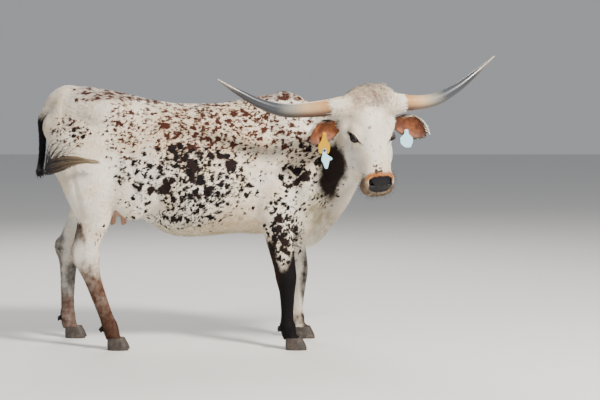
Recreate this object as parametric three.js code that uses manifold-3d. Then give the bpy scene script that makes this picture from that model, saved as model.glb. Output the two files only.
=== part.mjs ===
// A life-size Texas longhorn cow, standing with her head turned to her right, as a museum model.
// Millimetres, +X the way the body faces, +Y the animal's left, +Z up, with the hooves on Z = 0.
//
// The flesh is one smooth field: a few tubes and ellipsoids that flow into each other. It is turned into a
// closed mesh, thinned, and parted with thin cuts. Horns, ears, hooves, tags and locks are lofted rings.
import * as THREE from "three";
import Module from "manifold-3d";
import { mergeVertices } from "three/addons/utils/BufferGeometryUtils.js";

const wasm = await Module();
wasm.setup();

// Driving dimensions
const GAP = 0.35;
const SLIVER = 0.01;
const SEAM_COST = 1;
const DRAWN_IN = 0.08;
const FAR = 1000;
const HOOF_HEIGHT = 62;
const EYE_RADIUS = 24;
const HORN_BASE_RADIUS = 46;
const EAR_LENGTH = 200;
const EAR_WIDTH = 120;

// The head's own frame: origin midway between the horn bases, axes down the face, out of it and to its left
const HEAD_AT = [864, -330, 1263];
const HEAD_YAW = 16;
const HEAD_PITCH = 72;
const HEAD_ROLL = 4;

// Tube stations: centre x, y, z, half width, half height, narrowing towards the top
const TORSO = [
  [-700, 0, 1086, 165, 236, -0.05],
  [-600, 0, 1066, 215, 276, -0.1],
  [-500, 0, 1045, 235, 297, -0.08],
  [-400, 0, 1021, 238, 305, 0.02],
  [-270, 0, 967, 260, 327, 0.1],
  [-120, 0, 925, 284, 347, 0.14],
  [30, 0, 924, 287, 346, 0.18],
  [170, 0, 936, 266, 346, 0.24],
  [310, 0, 948, 230, 362, 0.33],
  [430, 0, 940, 202, 380, 0.42],
  [530, 0, 922, 176, 372, 0.36],
  [600, 0, 905, 142, 318, 0.25],
];
const NECK = [
  [430, 0, 1010, 128, 296, 0.2],
  [560, -30, 1012, 116, 258, 0.15],
  [680, -100, 1045, 100, 208, 0.1],
  [770, -185, 1092, 90, 166, 0],
  [835, -270, 1132, 82, 135, 0],
];
const DEWLAP = [
  [500, 0, 600, 62, 70],
  [590, -10, 622, 44, 62],
  [680, -45, 702, 30, 62],
  [752, -110, 800, 26, 60],
  [806, -195, 905, 26, 56],
  [838, -262, 990, 30, 48],
];
const TAIL = [
  [-690, 0, 1312, 40, 34],
  [-757, 0, 1278, 31, 28],
  [-803, 0, 1200, 26, 24],
  [-822, 0, 1105, 22, 21],
  [-828, -12, 1020, 20, 19],
  [-828, -62, 952, 18, 18],
  [-820, -150, 918, 17, 17],
  [-800, -236, 915, 15, 15],
  [-764, -300, 928, 12, 12],
];
// Ellipsoids on both sides: centre x, |y|, z, radii, how softly they join
const BODY_BUMPS = [
  [-450, 158, 1214, 118, 90, 66, 80],
  [-768, 88, 1150, 42, 38, 56, 55],
  [-655, 0, 1286, 130, 70, 60, 70],
  [578, 148, 862, 92, 66, 122, 70],
  [430, 166, 850, 142, 66, 152, 65],
  [560, 0, 655, 96, 104, 128, 70],
  [-330, 232, 800, 96, 40, 130, 70],
];
const FLANK_HOLLOW = [-315, 284, 1140, 100, 46, 108, 60];
const SCAPULA = [
  [425, 98, 1235, 38, 74, 0],
  [480, 138, 1110, 48, 88, 0],
  [548, 160, 960, 58, 92, 0],
];

// Legs: joint centres from the top down, and one profile for each pair
const HIND_JOINTS = {
  right: [
    [-590, -140, 1130],
    [-548, -188, 840],
    [-536, -196, 665],
    [-574, -198, 484],
    [-457, -198, 122],
    [-436, -198, 50],
  ],
  left: [
    [-595, 140, 1130],
    [-580, 188, 840],
    [-640, 196, 665],
    [-722, 198, 484],
    [-738, 198, 122],
    [-718, 198, 50],
  ],
};
const FORE_JOINTS = {
  right: [
    [420, -165, 900],
    [400, -183, 720],
    [455, -190, 368],
    [461, -190, 122],
    [482, -190, 50],
  ],
  left: [
    [430, 165, 900],
    [448, 183, 720],
    [516, 190, 368],
    [507, 190, 122],
    [528, 190, 50],
  ],
};
// Profile rows: place along the joints, half width across, half depth front to back
const HIND_PROFILE = [
  [0, 84, 178],
  [0.5, 104, 176],
  [0.9, 100, 150],
  [1.4, 84, 118],
  [2, 62, 85],
  [2.5, 49, 72],
  [2.85, 42, 70],
  [3, 42, 74],
  [3.12, 39, 64],
  [3.3, 33, 46],
  [3.6, 28, 39],
  [3.85, 29, 37],
  [4, 38, 43],
  [4.5, 36, 38],
  [5, 40, 42],
];
const FORE_PROFILE = [
  [0, 78, 150],
  [0.5, 78, 128],
  [1, 68, 98],
  [1.4, 56, 74],
  [1.8, 46, 58],
  [1.95, 48, 56],
  [2.06, 46, 52],
  [2.25, 36, 41],
  [2.6, 28, 34],
  [2.85, 30, 35],
  [3, 38, 43],
  [3.5, 36, 38],
  [4, 41, 43],
];

// Head shapes, in the head's own frame: along the face, out of the face, to the side
const SKULL = [
  [-45, -35, 0, 80, 66, 0],
  [30, -48, 0, 100, 102, 0],
  [105, -60, 0, 108, 120, 0.02],
  [165, -68, 0, 106, 126, 0.06],
  [230, -68, 0, 104, 118, 0.12],
  [295, -50, 0, 87, 92, 0.1],
  [345, -36, 0, 75, 72, 0.04],
  [375, -34, 0, 77, 66, 0],
  [400, -40, 0, 78, 59, -0.04],
  [420, -50, 0, 73, 48, -0.04],
  [438, -60, 0, 62, 36, 0],
];
const HORN_CORE = [
  [-2, -8, 40, 60, 58, 0],
  [2, -8, 120, 57, 54, 0],
  [4, -8, 184, 50, 50, 0],
];
const POLL = [-42, -10, 26, 55, 52, 108, 40];
const HEAD_BUMPS = [
  [84, -58, 108, 56, 34, 42, 50],
  [152, -8, 81, 50, 38, 34, 30],
  [225, -150, 58, 62, 52, 32, 44],
  [228, -112, 78, 78, 62, 42, 40],
  [408, -62, 50, 40, 38, 36, 26],
  [424, -78, 0, 34, 32, 50, 26],
  [396, -12, 51, 32, 28, 24, 20],
];
const EYE = [172, 2, 92];

// Horn centre lines: to the side, forward, up from the level line between the horn bases
const HORN_PATHS = {
  right: [
    [150, -8, 0],
    [193, -8, -1],
    [307, -30, -5],
    [423, -58, 1],
    [538, -80, 45],
    [646, -93, 112],
    [741, -90, 177],
  ],
  left: [
    [150, -8, -2],
    [193, -8, -4],
    [283, -22, -10],
    [396, -48, 3],
    [524, -75, 54],
    [634, -90, 121],
    [746, -90, 202],
  ],
};
const EAR_ROOT = { right: [126, -60, -94], left: [132, -60, -92] };
const EAR_TIP = { right: [304, -18, -164], left: [312, -18, -178] };

const v = (p) => new THREE.Vector3(...p);
const radians = THREE.MathUtils.degToRad;
const clamp = THREE.MathUtils.clamp;
const mix = THREE.MathUtils.lerp;

// The head's axes in the model's frame
const forward = new THREE.Vector3(Math.sin(radians(HEAD_YAW)), -Math.cos(radians(HEAD_YAW)), 0);
const levelSide = new THREE.Vector3(-forward.y, forward.x, 0);
const roll = radians(HEAD_ROLL);
const side = levelSide.clone().multiplyScalar(Math.cos(roll)).add(new THREE.Vector3(0, 0, Math.sin(roll)));
const up = new THREE.Vector3(0, 0, Math.cos(roll)).addScaledVector(levelSide, -Math.sin(roll));
const pitch = radians(HEAD_PITCH);
const down = forward.clone().multiplyScalar(Math.cos(pitch)).addScaledVector(up, -Math.sin(pitch));
const out = forward.clone().multiplyScalar(Math.sin(pitch)).addScaledVector(up, Math.cos(pitch));
const headOrigin = v(HEAD_AT);

const fromFace = (a, n, l) =>
  headOrigin.clone().addScaledVector(down, a).addScaledVector(out, n).addScaledVector(side, l);
const fromLevel = (l, f, u) =>
  headOrigin.clone().addScaledVector(side, l).addScaledVector(forward, f).addScaledVector(up, u);

// A Catmull-Rom value through rows of numbers, at a place counted in rows
function splineRow(rows, t) {
  const i = clamp(Math.floor(t), 0, rows.length - 2);
  const f = t - i;
  const [a, b, c, d] = [i - 1, i, i + 1, i + 2].map((k) => rows[clamp(k, 0, rows.length - 1)]);
  return b.map((_, k) => 0.5 * (2 * b[k] + (c[k] - a[k]) * f + (2 * a[k] - 5 * b[k] + 4 * c[k] - d[k]) * f * f
    + (3 * b[k] - a[k] - 3 * c[k] + d[k]) * f * f * f));
}

// A tube of elliptical sections along its stations. height is the direction of the half heights. Its sections
// are square to the line of centres, or to a fixed axis.
function tube(stations, options) {
  const { height = [0, 0, 1], caps = [60, 60], power = 2, join = 40, steps = 3, axis = null } = options;
  const rows = [];
  for (let k = 0; k <= (stations.length - 1) * steps; k++) rows.push(splineRow(stations, k / steps));
  const last = rows.length - 1;
  const rings = rows.map((row, k) => {
    const [before, after] = [rows[Math.max(k - 1, 0)], rows[Math.min(k + 1, last)]];
    const tangent = axis ? v(axis) : v(after.slice(0, 3)).sub(v(before.slice(0, 3))).normalize();
    const across = new THREE.Vector3().crossVectors(tangent, v(height)).normalize();
    const high = new THREE.Vector3().crossVectors(across, tangent);
    const numbers = [...row.slice(0, 5), row[5] ?? 0];
    return [...numbers, ...tangent.toArray(), ...across.toArray(), ...high.toArray()];
  });
  const reach = Math.max(...rows.flatMap((r) => [r[3], r[4]]), ...caps) + 60;
  const low = [0, 1, 2].map((i) => Math.min(...rows.map((r) => r[i])) - reach);
  const top = [0, 1, 2].map((i) => Math.max(...rows.map((r) => r[i])) + reach);
  return { rings, caps, power, join, low, top };
}

function tubeDistance(t, x, y, z) {
  const { rings, low, top } = t;
  if (x < low[0] || y < low[1] || z < low[2] || x > top[0] || y > top[1] || z > top[2]) return FAR;
  const last = rings.length - 1;
  const before = (r) => (x - r[0]) * r[6] + (y - r[1]) * r[7] + (z - r[2]) * r[8];
  let nearest = Infinity;
  let at = 0;
  let share = 0;
  let over = 0;
  let start = before(rings[0]);
  const first = start;
  for (let k = 0; k < last; k++) {
    const end = before(rings[k + 1]);
    if (start >= 0 && end < 0) {
      const f = start / (start - end);
      const [a, b] = [rings[k], rings[k + 1]];
      const dx = x - a[0] - (b[0] - a[0]) * f;
      const dy = y - a[1] - (b[1] - a[1]) * f;
      const dz = z - a[2] - (b[2] - a[2]) * f;
      const square = dx * dx + dy * dy + dz * dz;
      if (square < nearest) {
        nearest = square;
        at = k;
        share = f;
      }
    }
    start = end;
  }
  if (nearest === Infinity) {
    const atStart = first < 0;
    over = atStart ? first : start;
    at = atStart ? 0 : last - 1;
    share = atStart ? 0 : 1;
  }
  const [a, b] = [rings[at], rings[at + 1]];
  const part = (k) => a[k] + (b[k] - a[k]) * share;
  const [dx, dy, dz] = [x - part(0), y - part(1), z - part(2)];
  const across = dx * part(9) + dy * part(10) + dz * part(11);
  const high = dx * part(12) + dy * part(13) + dz * part(14);
  const h = part(4);
  const w = part(3) * (1 - part(5) * clamp(high / h, -1, 1));
  const cap = over < 0 ? t.caps[0] : t.caps[1];
  const size = Math.hypot(across, high, over);
  if (size < 1e-6) return -Math.min(w, h);
  const p = t.power;
  const flat = Math.pow(Math.pow(Math.abs(across) / w, p) + Math.pow(Math.abs(high) / h, p), 1 / p);
  const ratio = Math.hypot(flat, over / cap);
  return size * (1 - 1 / Math.max(ratio, 1e-6));
}

function ellipsoidDistance(e, x, y, z) {
  const px = (x - e[0]) / e[3];
  const py = (y - e[1]) / e[4];
  const pz = (z - e[2]) / e[5];
  const k = Math.hypot(px, py, pz);
  const g = Math.hypot(px / e[3], py / e[4], pz / e[5]);
  return g < 1e-9 ? -Math.min(e[3], e[4], e[5]) : (k * (k - 1)) / g;
}

const blend = (a, b, k) => {
  const h = Math.max(k - Math.abs(a - b), 0) / k;
  return Math.min(a, b) - (h * h * k) / 4;
};
const carve = (a, b, k) => -blend(-a, b, k);

// Leg stations from joints and a profile
const legStations = (joints, profile) =>
  profile.map(([at, width, depth]) => [...splineRow(joints, at), width, depth, 0]);

const legTube = (joints, profile) =>
  tube(legStations(joints, profile), { height: [1, 0, 0], caps: [40, 30], join: 46, steps: 2 });

const TUBES = [
  tube(TORSO, { caps: [96, 62], power: 2.25, join: 1, axis: [1, 0, 0] }),
  tube(NECK, { caps: [60, 60], power: 2.1, join: 90, steps: 5 }),
  tube(DEWLAP, { caps: [30, 30], join: 60 }),
  legTube(HIND_JOINTS.right, HIND_PROFILE),
  legTube(HIND_JOINTS.left, HIND_PROFILE),
  legTube(FORE_JOINTS.right, FORE_PROFILE),
  legTube(FORE_JOINTS.left, FORE_PROFILE),
];
const scapula = tube(SCAPULA, { height: [1, 0, 0], caps: [60, 60], join: 50 });
const skull = tube(SKULL, { height: [0, 1, 0], caps: [26, 18], power: 2.3, axis: [1, 0, 0] });
const hornCore = tube(HORN_CORE, { height: [0, 1, 0], caps: [20, 9] });

// Hock points, dewclaws and elbows hang on the joints of each leg
const legBumps = [];
for (const joints of Object.values(HIND_JOINTS)) {
  const [x, y, z] = joints[3];
  legBumps.push([x - 56, y, z + 14, 26, 20, 44, 26]);
}
for (const joints of [...Object.values(HIND_JOINTS), ...Object.values(FORE_JOINTS)]) {
  const [x, y, z] = joints[joints.length - 2];
  for (const apart of [-20, 20]) legBumps.push([x - 42, y + apart, z - 14, 12, 11, 17, 5]);
}

function bodyField(x, y, z) {
  let d = FAR;
  for (const t of TUBES) d = blend(d, tubeDistance(t, x, y, z), t.join);
  const ay = Math.abs(y);
  d = blend(d, tubeDistance(scapula, x, ay, z), scapula.join);
  for (const e of BODY_BUMPS) d = blend(d, ellipsoidDistance(e, x, ay, z), e[6]);
  for (const e of legBumps) d = blend(d, ellipsoidDistance(e, x, y, z), e[6]);
  return carve(d, ellipsoidDistance(FLANK_HOLLOW, x, ay, z), FLANK_HOLLOW[6]);
}

const [ox, oy, oz] = HEAD_AT;
function headField(x, y, z) {
  const [rx, ry, rz] = [x - ox, y - oy, z - oz];
  const a = rx * down.x + ry * down.y + rz * down.z;
  const n = rx * out.x + ry * out.y + rz * out.z;
  const across = rx * side.x + ry * side.y + rz * side.z;
  const l = Math.abs(across);
  let d = tubeDistance(skull, a, n, across);
  d = blend(d, ellipsoidDistance(POLL, a, n, across), POLL[6]);
  d = blend(d, tubeDistance(hornCore, a, n, l), 40);
  for (const e of HEAD_BUMPS) d = blend(d, ellipsoidDistance(e, a, n, l), e[6]);
  return d;
}

const flesh = (x, y, z) => blend(bodyField(x, y, z), headField(x, y, z), 46);

// A closed mesh of a field's zero surface inside a box, one vertex in each crossed cell
function surface(field, low, high, cell) {
  const count = [0, 1, 2].map((i) => Math.ceil((high[i] - low[i]) / cell) + 1);
  const at = (i, j, k) => (k * count[1] + j) * count[0] + i;
  const values = new Float32Array(count[0] * count[1] * count[2]);
  for (let k = 0; k < count[2]; k++)
    for (let j = 0; j < count[1]; j++)
      for (let i = 0; i < count[0]; i++) {
        const edge = [i, j, k].some((q, m) => q === 0 || q === count[m] - 1);
        values[at(i, j, k)] = edge ? 1 : field(low[0] + i * cell, low[1] + j * cell, low[2] + k * cell);
      }
  const index = new Int32Array(values.length).fill(-1);
  const points = [];
  const corners = [0, 1, 2, 3, 4, 5, 6, 7].map((c) => [c & 1, (c >> 1) & 1, c >> 2]);
  const edges = [];
  for (let c = 0; c < 8; c++) for (const bit of [1, 2, 4]) if (!(c & bit)) edges.push([c, c | bit]);
  for (let k = 0; k < count[2] - 1; k++)
    for (let j = 0; j < count[1] - 1; j++)
      for (let i = 0; i < count[0] - 1; i++) {
        const value = corners.map(([a, b, c]) => values[at(i + a, j + b, k + c)]);
        const inside = value.filter((q) => q < 0).length;
        if (inside === 0 || inside === 8) continue;
        const sum = [0, 0, 0];
        let crossings = 0;
        for (const [p, q] of edges) {
          if (value[p] < 0 === value[q] < 0) continue;
          const f = value[p] / (value[p] - value[q]);
          for (let m = 0; m < 3; m++) sum[m] += mix(corners[p][m], corners[q][m], f);
          crossings++;
        }
        index[at(i, j, k)] = points.length / 3;
        points.push(...[i, j, k].map((q, m) => low[m] + (q + sum[m] / crossings) * cell));
      }
  const faces = [];
  const quad = (a, b, c, d, turned) => faces.push(...(turned ? [a, c, b, b, c, d] : [a, b, c, c, b, d]));
  for (let k = 0; k < count[2] - 1; k++)
    for (let j = 0; j < count[1] - 1; j++)
      for (let i = 0; i < count[0] - 1; i++) {
        const here = values[at(i, j, k)] < 0;
        const cell = (di, dj, dk) => index[at(i - di, j - dj, k - dk)];
        if (j && k && here !== values[at(i + 1, j, k)] < 0)
          quad(cell(0, 1, 1), cell(0, 0, 1), cell(0, 1, 0), cell(0, 0, 0), !here);
        if (i && k && here !== values[at(i, j + 1, k)] < 0)
          quad(cell(1, 0, 1), cell(0, 0, 1), cell(1, 0, 0), cell(0, 0, 0), here);
        if (i && j && here !== values[at(i, j, k + 1)] < 0)
          quad(cell(1, 1, 0), cell(0, 1, 0), cell(1, 0, 0), cell(0, 0, 0), !here);
      }
  const settle = 0.5 * cell;
  const eps = 0.5;
  for (let p = 0; p < points.length; p += 3)
    for (let pass = 0; pass < 2; pass++) {
      const [x, y, z] = points.slice(p, p + 3);
      const d = field(x, y, z);
      const ahead = [field(x + eps, y, z), field(x, y + eps, z), field(x, y, z + eps)];
      const g = ahead.map((q) => (q - d) / eps);
      const square = g[0] * g[0] + g[1] * g[1] + g[2] * g[2];
      const move = clamp(d / Math.max(square, 0.25), -settle, settle);
      for (let m = 0; m < 3; m++) points[p + m] -= g[m] * move;
    }
  return { points, faces };
}

// Thins a closed mesh to a number of triangles, or up to a cost, by collapsing the edges that matter least
function thin({ points, faces }, target, limit = Infinity) {
  const total = points.length / 3;
  const quadrics = Array.from({ length: total }, () => new Float64Array(10));
  const around = Array.from({ length: total }, () => new Set());
  const triangles = [];
  const at = (i) => [points[3 * i], points[3 * i + 1], points[3 * i + 2]];
  const normalOf = (a, b, c) => {
    const [u, w] = [[b[0] - a[0], b[1] - a[1], b[2] - a[2]], [c[0] - a[0], c[1] - a[1], c[2] - a[2]]];
    return [u[1] * w[2] - u[2] * w[1], u[2] * w[0] - u[0] * w[2], u[0] * w[1] - u[1] * w[0]];
  };
  for (let f = 0; f < faces.length; f += 3) {
    const ids = [faces[f], faces[f + 1], faces[f + 2]];
    const [a, b, c] = ids.map(at);
    const n = normalOf(a, b, c);
    const area = Math.hypot(...n) || 1e-12;
    const [p, q, r] = n.map((x) => x / area);
    const s = -(p * a[0] + q * a[1] + r * a[2]);
    const plane = [p * p, p * q, p * r, p * s, q * q, q * r, q * s, r * r, r * s, s * s];
    for (const id of ids) {
      plane.forEach((x, m) => (quadrics[id][m] += x * area));
      around[id].add(triangles.length);
    }
    triangles.push(ids);
  }
  const costAt = (Q, [x, y, z]) =>
    Q[0] * x * x + 2 * Q[1] * x * y + 2 * Q[2] * x * z + 2 * Q[3] * x + Q[4] * y * y + 2 * Q[5] * y * z
    + 2 * Q[6] * y + Q[7] * z * z + 2 * Q[8] * z + Q[9];
  const bestPoint = (Q, a, b) => {
    const det = Q[0] * (Q[4] * Q[7] - Q[5] * Q[5]) - Q[1] * (Q[1] * Q[7] - Q[5] * Q[2])
      + Q[2] * (Q[1] * Q[5] - Q[4] * Q[2]);
    const choices = [a, b, a.map((x, m) => (x + b[m]) / 2)];
    if (Math.abs(det) > 1e-3 * Math.abs(Q[0] + Q[4] + Q[7]) ** 3 / 27) {
      const [x, y, z] = [-Q[3], -Q[6], -Q[8]];
      choices.push([
        (x * (Q[4] * Q[7] - Q[5] * Q[5]) - Q[1] * (y * Q[7] - Q[5] * z) + Q[2] * (y * Q[5] - Q[4] * z)) / det,
        (Q[0] * (y * Q[7] - z * Q[5]) - x * (Q[1] * Q[7] - Q[5] * Q[2]) + Q[2] * (Q[1] * z - y * Q[2])) / det,
        (Q[0] * (Q[4] * z - y * Q[5]) - Q[1] * (Q[1] * z - y * Q[2]) + x * (Q[1] * Q[5] - Q[4] * Q[2])) / det,
      ]);
    }
    let best = null;
    for (const point of choices) {
      const cost = costAt(Q, point);
      if (!best || cost < best.cost) best = { cost, point };
    }
    return best;
  };
  const heap = [];
  const push = (item) => {
    heap.push(item);
    for (let i = heap.length - 1; i > 0;) {
      const parent = (i - 1) >> 1;
      if (heap[parent].cost <= heap[i].cost) break;
      [heap[parent], heap[i]] = [heap[i], heap[parent]];
      i = parent;
    }
  };
  const pop = () => {
    const first = heap[0];
    const last = heap.pop();
    if (heap.length) {
      heap[0] = last;
      for (let i = 0; ;) {
        let child = 2 * i + 1;
        if (child >= heap.length) break;
        if (child + 1 < heap.length && heap[child + 1].cost < heap[child].cost) child++;
        if (heap[i].cost <= heap[child].cost) break;
        [heap[child], heap[i]] = [heap[i], heap[child]];
        i = child;
      }
    }
    return first;
  };
  const version = new Int32Array(total);
  const alive = new Uint8Array(total).fill(1);
  const neighbours = (id) => {
    const found = new Set();
    for (const t of around[id]) for (const other of triangles[t]) if (other !== id) found.add(other);
    return found;
  };
  const offer = (a, b) => {
    const Q = quadrics[a].map((x, m) => x + quadrics[b][m]);
    const { cost, point } = bestPoint(Q, at(a), at(b));
    const [pa, pb] = [at(a), at(b)];
    const length = Math.hypot(pa[0] - pb[0], pa[1] - pb[1], pa[2] - pb[2]);
    push({ cost: cost + 1e-4 * length * length, a, b, point, stamp: version[a] + version[b] });
  };
  for (let id = 0; id < total; id++) for (const other of neighbours(id)) if (id < other) offer(id, other);
  const keepsFacing = (id, gone, point) => {
    for (const t of around[id]) {
      const ids = triangles[t];
      if (ids.includes(gone)) continue;
      const before = normalOf(...ids.map(at));
      const after = normalOf(...ids.map((q) => (q === id ? point : at(q))));
      if (Math.hypot(...before) < SLIVER) continue;
      const dot = before[0] * after[0] + before[1] * after[1] + before[2] * after[2];
      if (dot < 0.3 * Math.hypot(...before) * Math.hypot(...after)) return false;
      if (Math.hypot(...after) < SLIVER) return false;
    }
    return true;
  };
  let left = triangles.length;
  while (left > target && heap.length) {
    const { cost, a, b, point, stamp } = pop();
    if (cost > limit) break;
    if (!alive[a] || !alive[b] || stamp !== version[a] + version[b]) continue;
    const shared = [...neighbours(a)].filter((id) => neighbours(b).has(id));
    if (shared.length !== 2 || !keepsFacing(a, b, point) || !keepsFacing(b, a, point)) continue;
    for (const t of [...around[b]]) {
      if (triangles[t].includes(a)) {
        for (const id of triangles[t]) around[id].delete(t);
        left--;
      } else {
        triangles[t] = triangles[t].map((id) => (id === b ? a : id));
        around[a].add(t);
      }
    }
    alive[b] = 0;
    around[b].clear();
    for (let m = 0; m < 3; m++) points[3 * a + m] = point[m];
    quadrics[b].forEach((x, m) => (quadrics[a][m] += x));
    version[a] = Math.max(version[a], version[b]) + 1;
    for (const other of neighbours(a)) offer(a, other);
  }
  const kept = [];
  triangles.forEach((ids, t) => {
    if (around[ids[0]].has(t)) kept.push(...ids);
  });
  return { points, faces: kept };
}

function solid({ points, faces }) {
  const used = new Map();
  const vertices = [];
  const triVerts = faces.map((id) => {
    if (!used.has(id)) {
      used.set(id, vertices.length / 3);
      vertices.push(points[3 * id], points[3 * id + 1], points[3 * id + 2]);
    }
    return used.get(id);
  });
  const [vertProperties, triangles] = [new Float32Array(vertices), new Uint32Array(triVerts)];
  return new wasm.Manifold(new wasm.Mesh({ numProp: 3, vertProperties, triVerts: triangles }));
}

function solidOf(geometry) {
  const bare = geometry.clone();
  for (const name of Object.keys(bare.attributes)) if (name !== "position") bare.deleteAttribute(name);
  const merged = mergeVertices(bare, 1e-3);
  return solid({ points: [...merged.attributes.position.array], faces: [...merged.index.array] });
}

// Where two corners of a closed mesh share one place, each is drawn in a little, so that they part
function partCorners(points, faces) {
  const normals = new Float32Array(points.length);
  for (let f = 0; f < faces.length; f += 3) {
    const [a, b, c] = [0, 1, 2].map((k) => new THREE.Vector3().fromArray(points, 3 * faces[f + k]));
    const normal = b.sub(a).cross(c.sub(a));
    for (let k = 0; k < 3; k++) normal.toArray().forEach((x, m) => (normals[3 * faces[f + k] + m] += x));
  }
  const places = new Map();
  for (let i = 0; i < points.length / 3; i++) {
    const key = [0, 1, 2].map((m) => Math.round(points[3 * i + m] * 500)).join();
    places.set(key, [...(places.get(key) ?? []), i]);
  }
  for (const shared of places.values())
    if (shared.length > 1)
      for (const i of shared) {
        const normal = new THREE.Vector3().fromArray(normals, 3 * i).normalize().multiplyScalar(DRAWN_IN);
        normal.toArray().forEach((x, m) => (points[3 * i + m] -= x));
      }
}

// Keeps the largest closed body and drops loose scraps
function largest(shape) {
  return shape.decompose().reduce((best, body) => (body.volume() > best.volume() ? body : best));
}

// A solid from faces that may all be wound inwards
function outward(points, faces) {
  const made = solid({ points, faces });
  if (made.volume() > 0) return made;
  for (let f = 0; f < faces.length; f += 3) [faces[f + 1], faces[f + 2]] = [faces[f + 2], faces[f + 1]];
  return solid({ points, faces });
}

// A closed loft through rings of equally many points, ended by a fan at each end
function loft(rings) {
  const sides = rings[0].length;
  const points = rings.flat().flatMap((p) => p.toArray());
  const faces = [];
  const middle = (ring) => ring.reduce((sum, p) => sum.add(p), new THREE.Vector3()).divideScalar(sides);
  const first = rings.length * sides;
  points.push(...middle(rings[0]).toArray(), ...middle(rings[rings.length - 1]).toArray());
  for (let i = 0; i < sides; i++) {
    const j = (i + 1) % sides;
    faces.push(first, j, i, first + 1, first - sides + i, first - sides + j);
    for (let r = 0; r < rings.length - 1; r++) {
      const [a, b, c, d] = [r * sides + i, r * sides + j, (r + 1) * sides + i, (r + 1) * sides + j];
      faces.push(a, b, c, c, b, d);
    }
  }
  return outward(points, faces);
}

// The same, closed on itself
function torus(rings) {
  const sides = rings[0].length;
  const points = rings.flat().flatMap((p) => p.toArray());
  const faces = [];
  for (let r = 0; r < rings.length; r++)
    for (let i = 0; i < sides; i++) {
      const [j, next] = [(i + 1) % sides, (r + 1) % rings.length];
      const [a, b, c, d] = [r * sides + i, r * sides + j, next * sides + i, next * sides + j];
      faces.push(a, b, c, c, b, d);
    }
  return outward(points, faces);
}

// A ring across a curve, w wide along the side direction and h along the other
function ringAcross(curve, t, reference, w, h, sides, bend = 0) {
  const centre = curve.getPoint(t);
  const tangent = curve.getTangent(t);
  const across = new THREE.Vector3().crossVectors(tangent, reference).normalize();
  const high = new THREE.Vector3().crossVectors(across, tangent);
  return Array.from({ length: sides }, (_, i) => {
    const angle = (2 * Math.PI * i) / sides;
    const x = Math.cos(angle) * w;
    const y = Math.sin(angle) * h + bend * (1 - (x / Math.max(w, 1e-6)) ** 2);
    return centre.clone().addScaledVector(across, x).addScaledVector(high, y);
  });
}

const curveThrough = (points) => new THREE.CatmullRomCurve3(points, false, "centripetal");

// Cuts the end off a root, so that it stops short of the bottom of its socket
const shortRoot = (shape, at, along) => shape.trimByPlane(along.toArray(), along.dot(at) + GAP);

// Horns
const HORN_TAPER = [[0, 1], [0.3, 0.86], [0.5, 0.73], [0.7, 0.5], [0.85, 0.31], [1, 0.07]];
function taperAt(rows, t) {
  const k = rows.findIndex((row) => row[0] >= t);
  if (k <= 0) return rows[0][1];
  const [a, b] = [rows[k - 1], rows[k]];
  return mix(a[1], b[1], (t - a[0]) / (b[0] - a[0]));
}
function horn(which, extra = 0) {
  const sign = which === "left" ? 1 : -1;
  const curve = curveThrough(HORN_PATHS[which].map(([l, f, u]) => fromLevel(sign * l, f, u)));
  const steps = 13;
  const whole = loft(Array.from({ length: steps + 1 }, (_, k) => {
    const t = k / steps;
    const r = HORN_BASE_RADIUS * taperAt(HORN_TAPER, t) + extra;
    return ringAcross(curve, t, up, r, r, 12);
  }));
  return extra ? whole : shortRoot(whole, curve.getPoint(0), curve.getTangent(0));
}

// Ears: a leaf-shaped cup that opens forward, as crescent sections
const EAR_SHAPE = [[0, 0.3], [0.12, 0.42], [0.3, 0.8], [0.5, 1], [0.7, 0.94], [0.88, 0.62], [1, 0.16]];
function earSection(which, t, extra, sides) {
  const sign = which === "left" ? 1 : -1;
  const place = (p) => fromLevel(sign * p[0], p[1], p[2]);
  const root = place(EAR_ROOT[which]);
  const tip = place(EAR_TIP[which]);
  const axis = tip.clone().sub(root).normalize();
  const face = forward.clone().addScaledVector(up, -0.18);
  face.addScaledVector(axis, -forward.dot(axis)).normalize();
  const broad = new THREE.Vector3().crossVectors(axis, face).normalize();
  const droop = -16 * Math.sin(Math.PI * t * 0.9);
  const centre = root.clone().lerp(tip, t * EAR_LENGTH / root.distanceTo(tip)).addScaledVector(up, -droop);
  const half = (EAR_WIDTH / 2) * taperAt(EAR_SHAPE, t) + extra;
  const cup = half * mix(0.3, 0.42, t) * (t < 0.1 ? t * 10 : 1);
  const thick = mix(15, 3.2, Math.min(1, t * 2.2)) + extra;
  const arc = (s, lift) => centre.clone().addScaledVector(broad, half * s)
    .addScaledVector(face, cup * (s * s - 0.5) + lift);
  const half_sides = sides / 2;
  const ring = [];
  for (let i = 0; i < half_sides; i++) ring.push(arc(mix(-1, 1, i / (half_sides - 1)), thick));
  for (let i = 0; i < half_sides; i++) ring.push(arc(mix(1, -1, i / (half_sides - 1)), -thick));
  return ring;
}
const EAR_PLACES = [0, 0.1, 0.2, 0.33, 0.48, 0.63, 0.77, 0.89, 1];
function ear(which) {
  const sign = which === "left" ? 1 : -1;
  const [root, tip] = [EAR_ROOT[which], EAR_TIP[which]].map(([l, f, u]) => fromLevel(sign * l, f, u));
  return shortRoot(loft(EAR_PLACES.map((t) => earSection(which, t, 0, 16))), root, tip.sub(root).normalize());
}
const earRoot = (which) => loft([0, 0.1, 0.2, 0.33].map((t) => earSection(which, t, GAP, 16)));

// Moves a point out until it is clear of the flesh
function clearOf(point, margin) {
  for (let pass = 0; pass < 8; pass++) {
    const { x, y, z } = point;
    const d = flesh(x, y, z);
    if (d >= margin) break;
    const away = new THREE.Vector3(flesh(x + 2, y, z) - d, flesh(x, y + 2, z) - d, flesh(x, y, z + 2) - d);
    point.addScaledVector(away.normalize(), margin - d);
  }
  return point;
}

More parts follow.
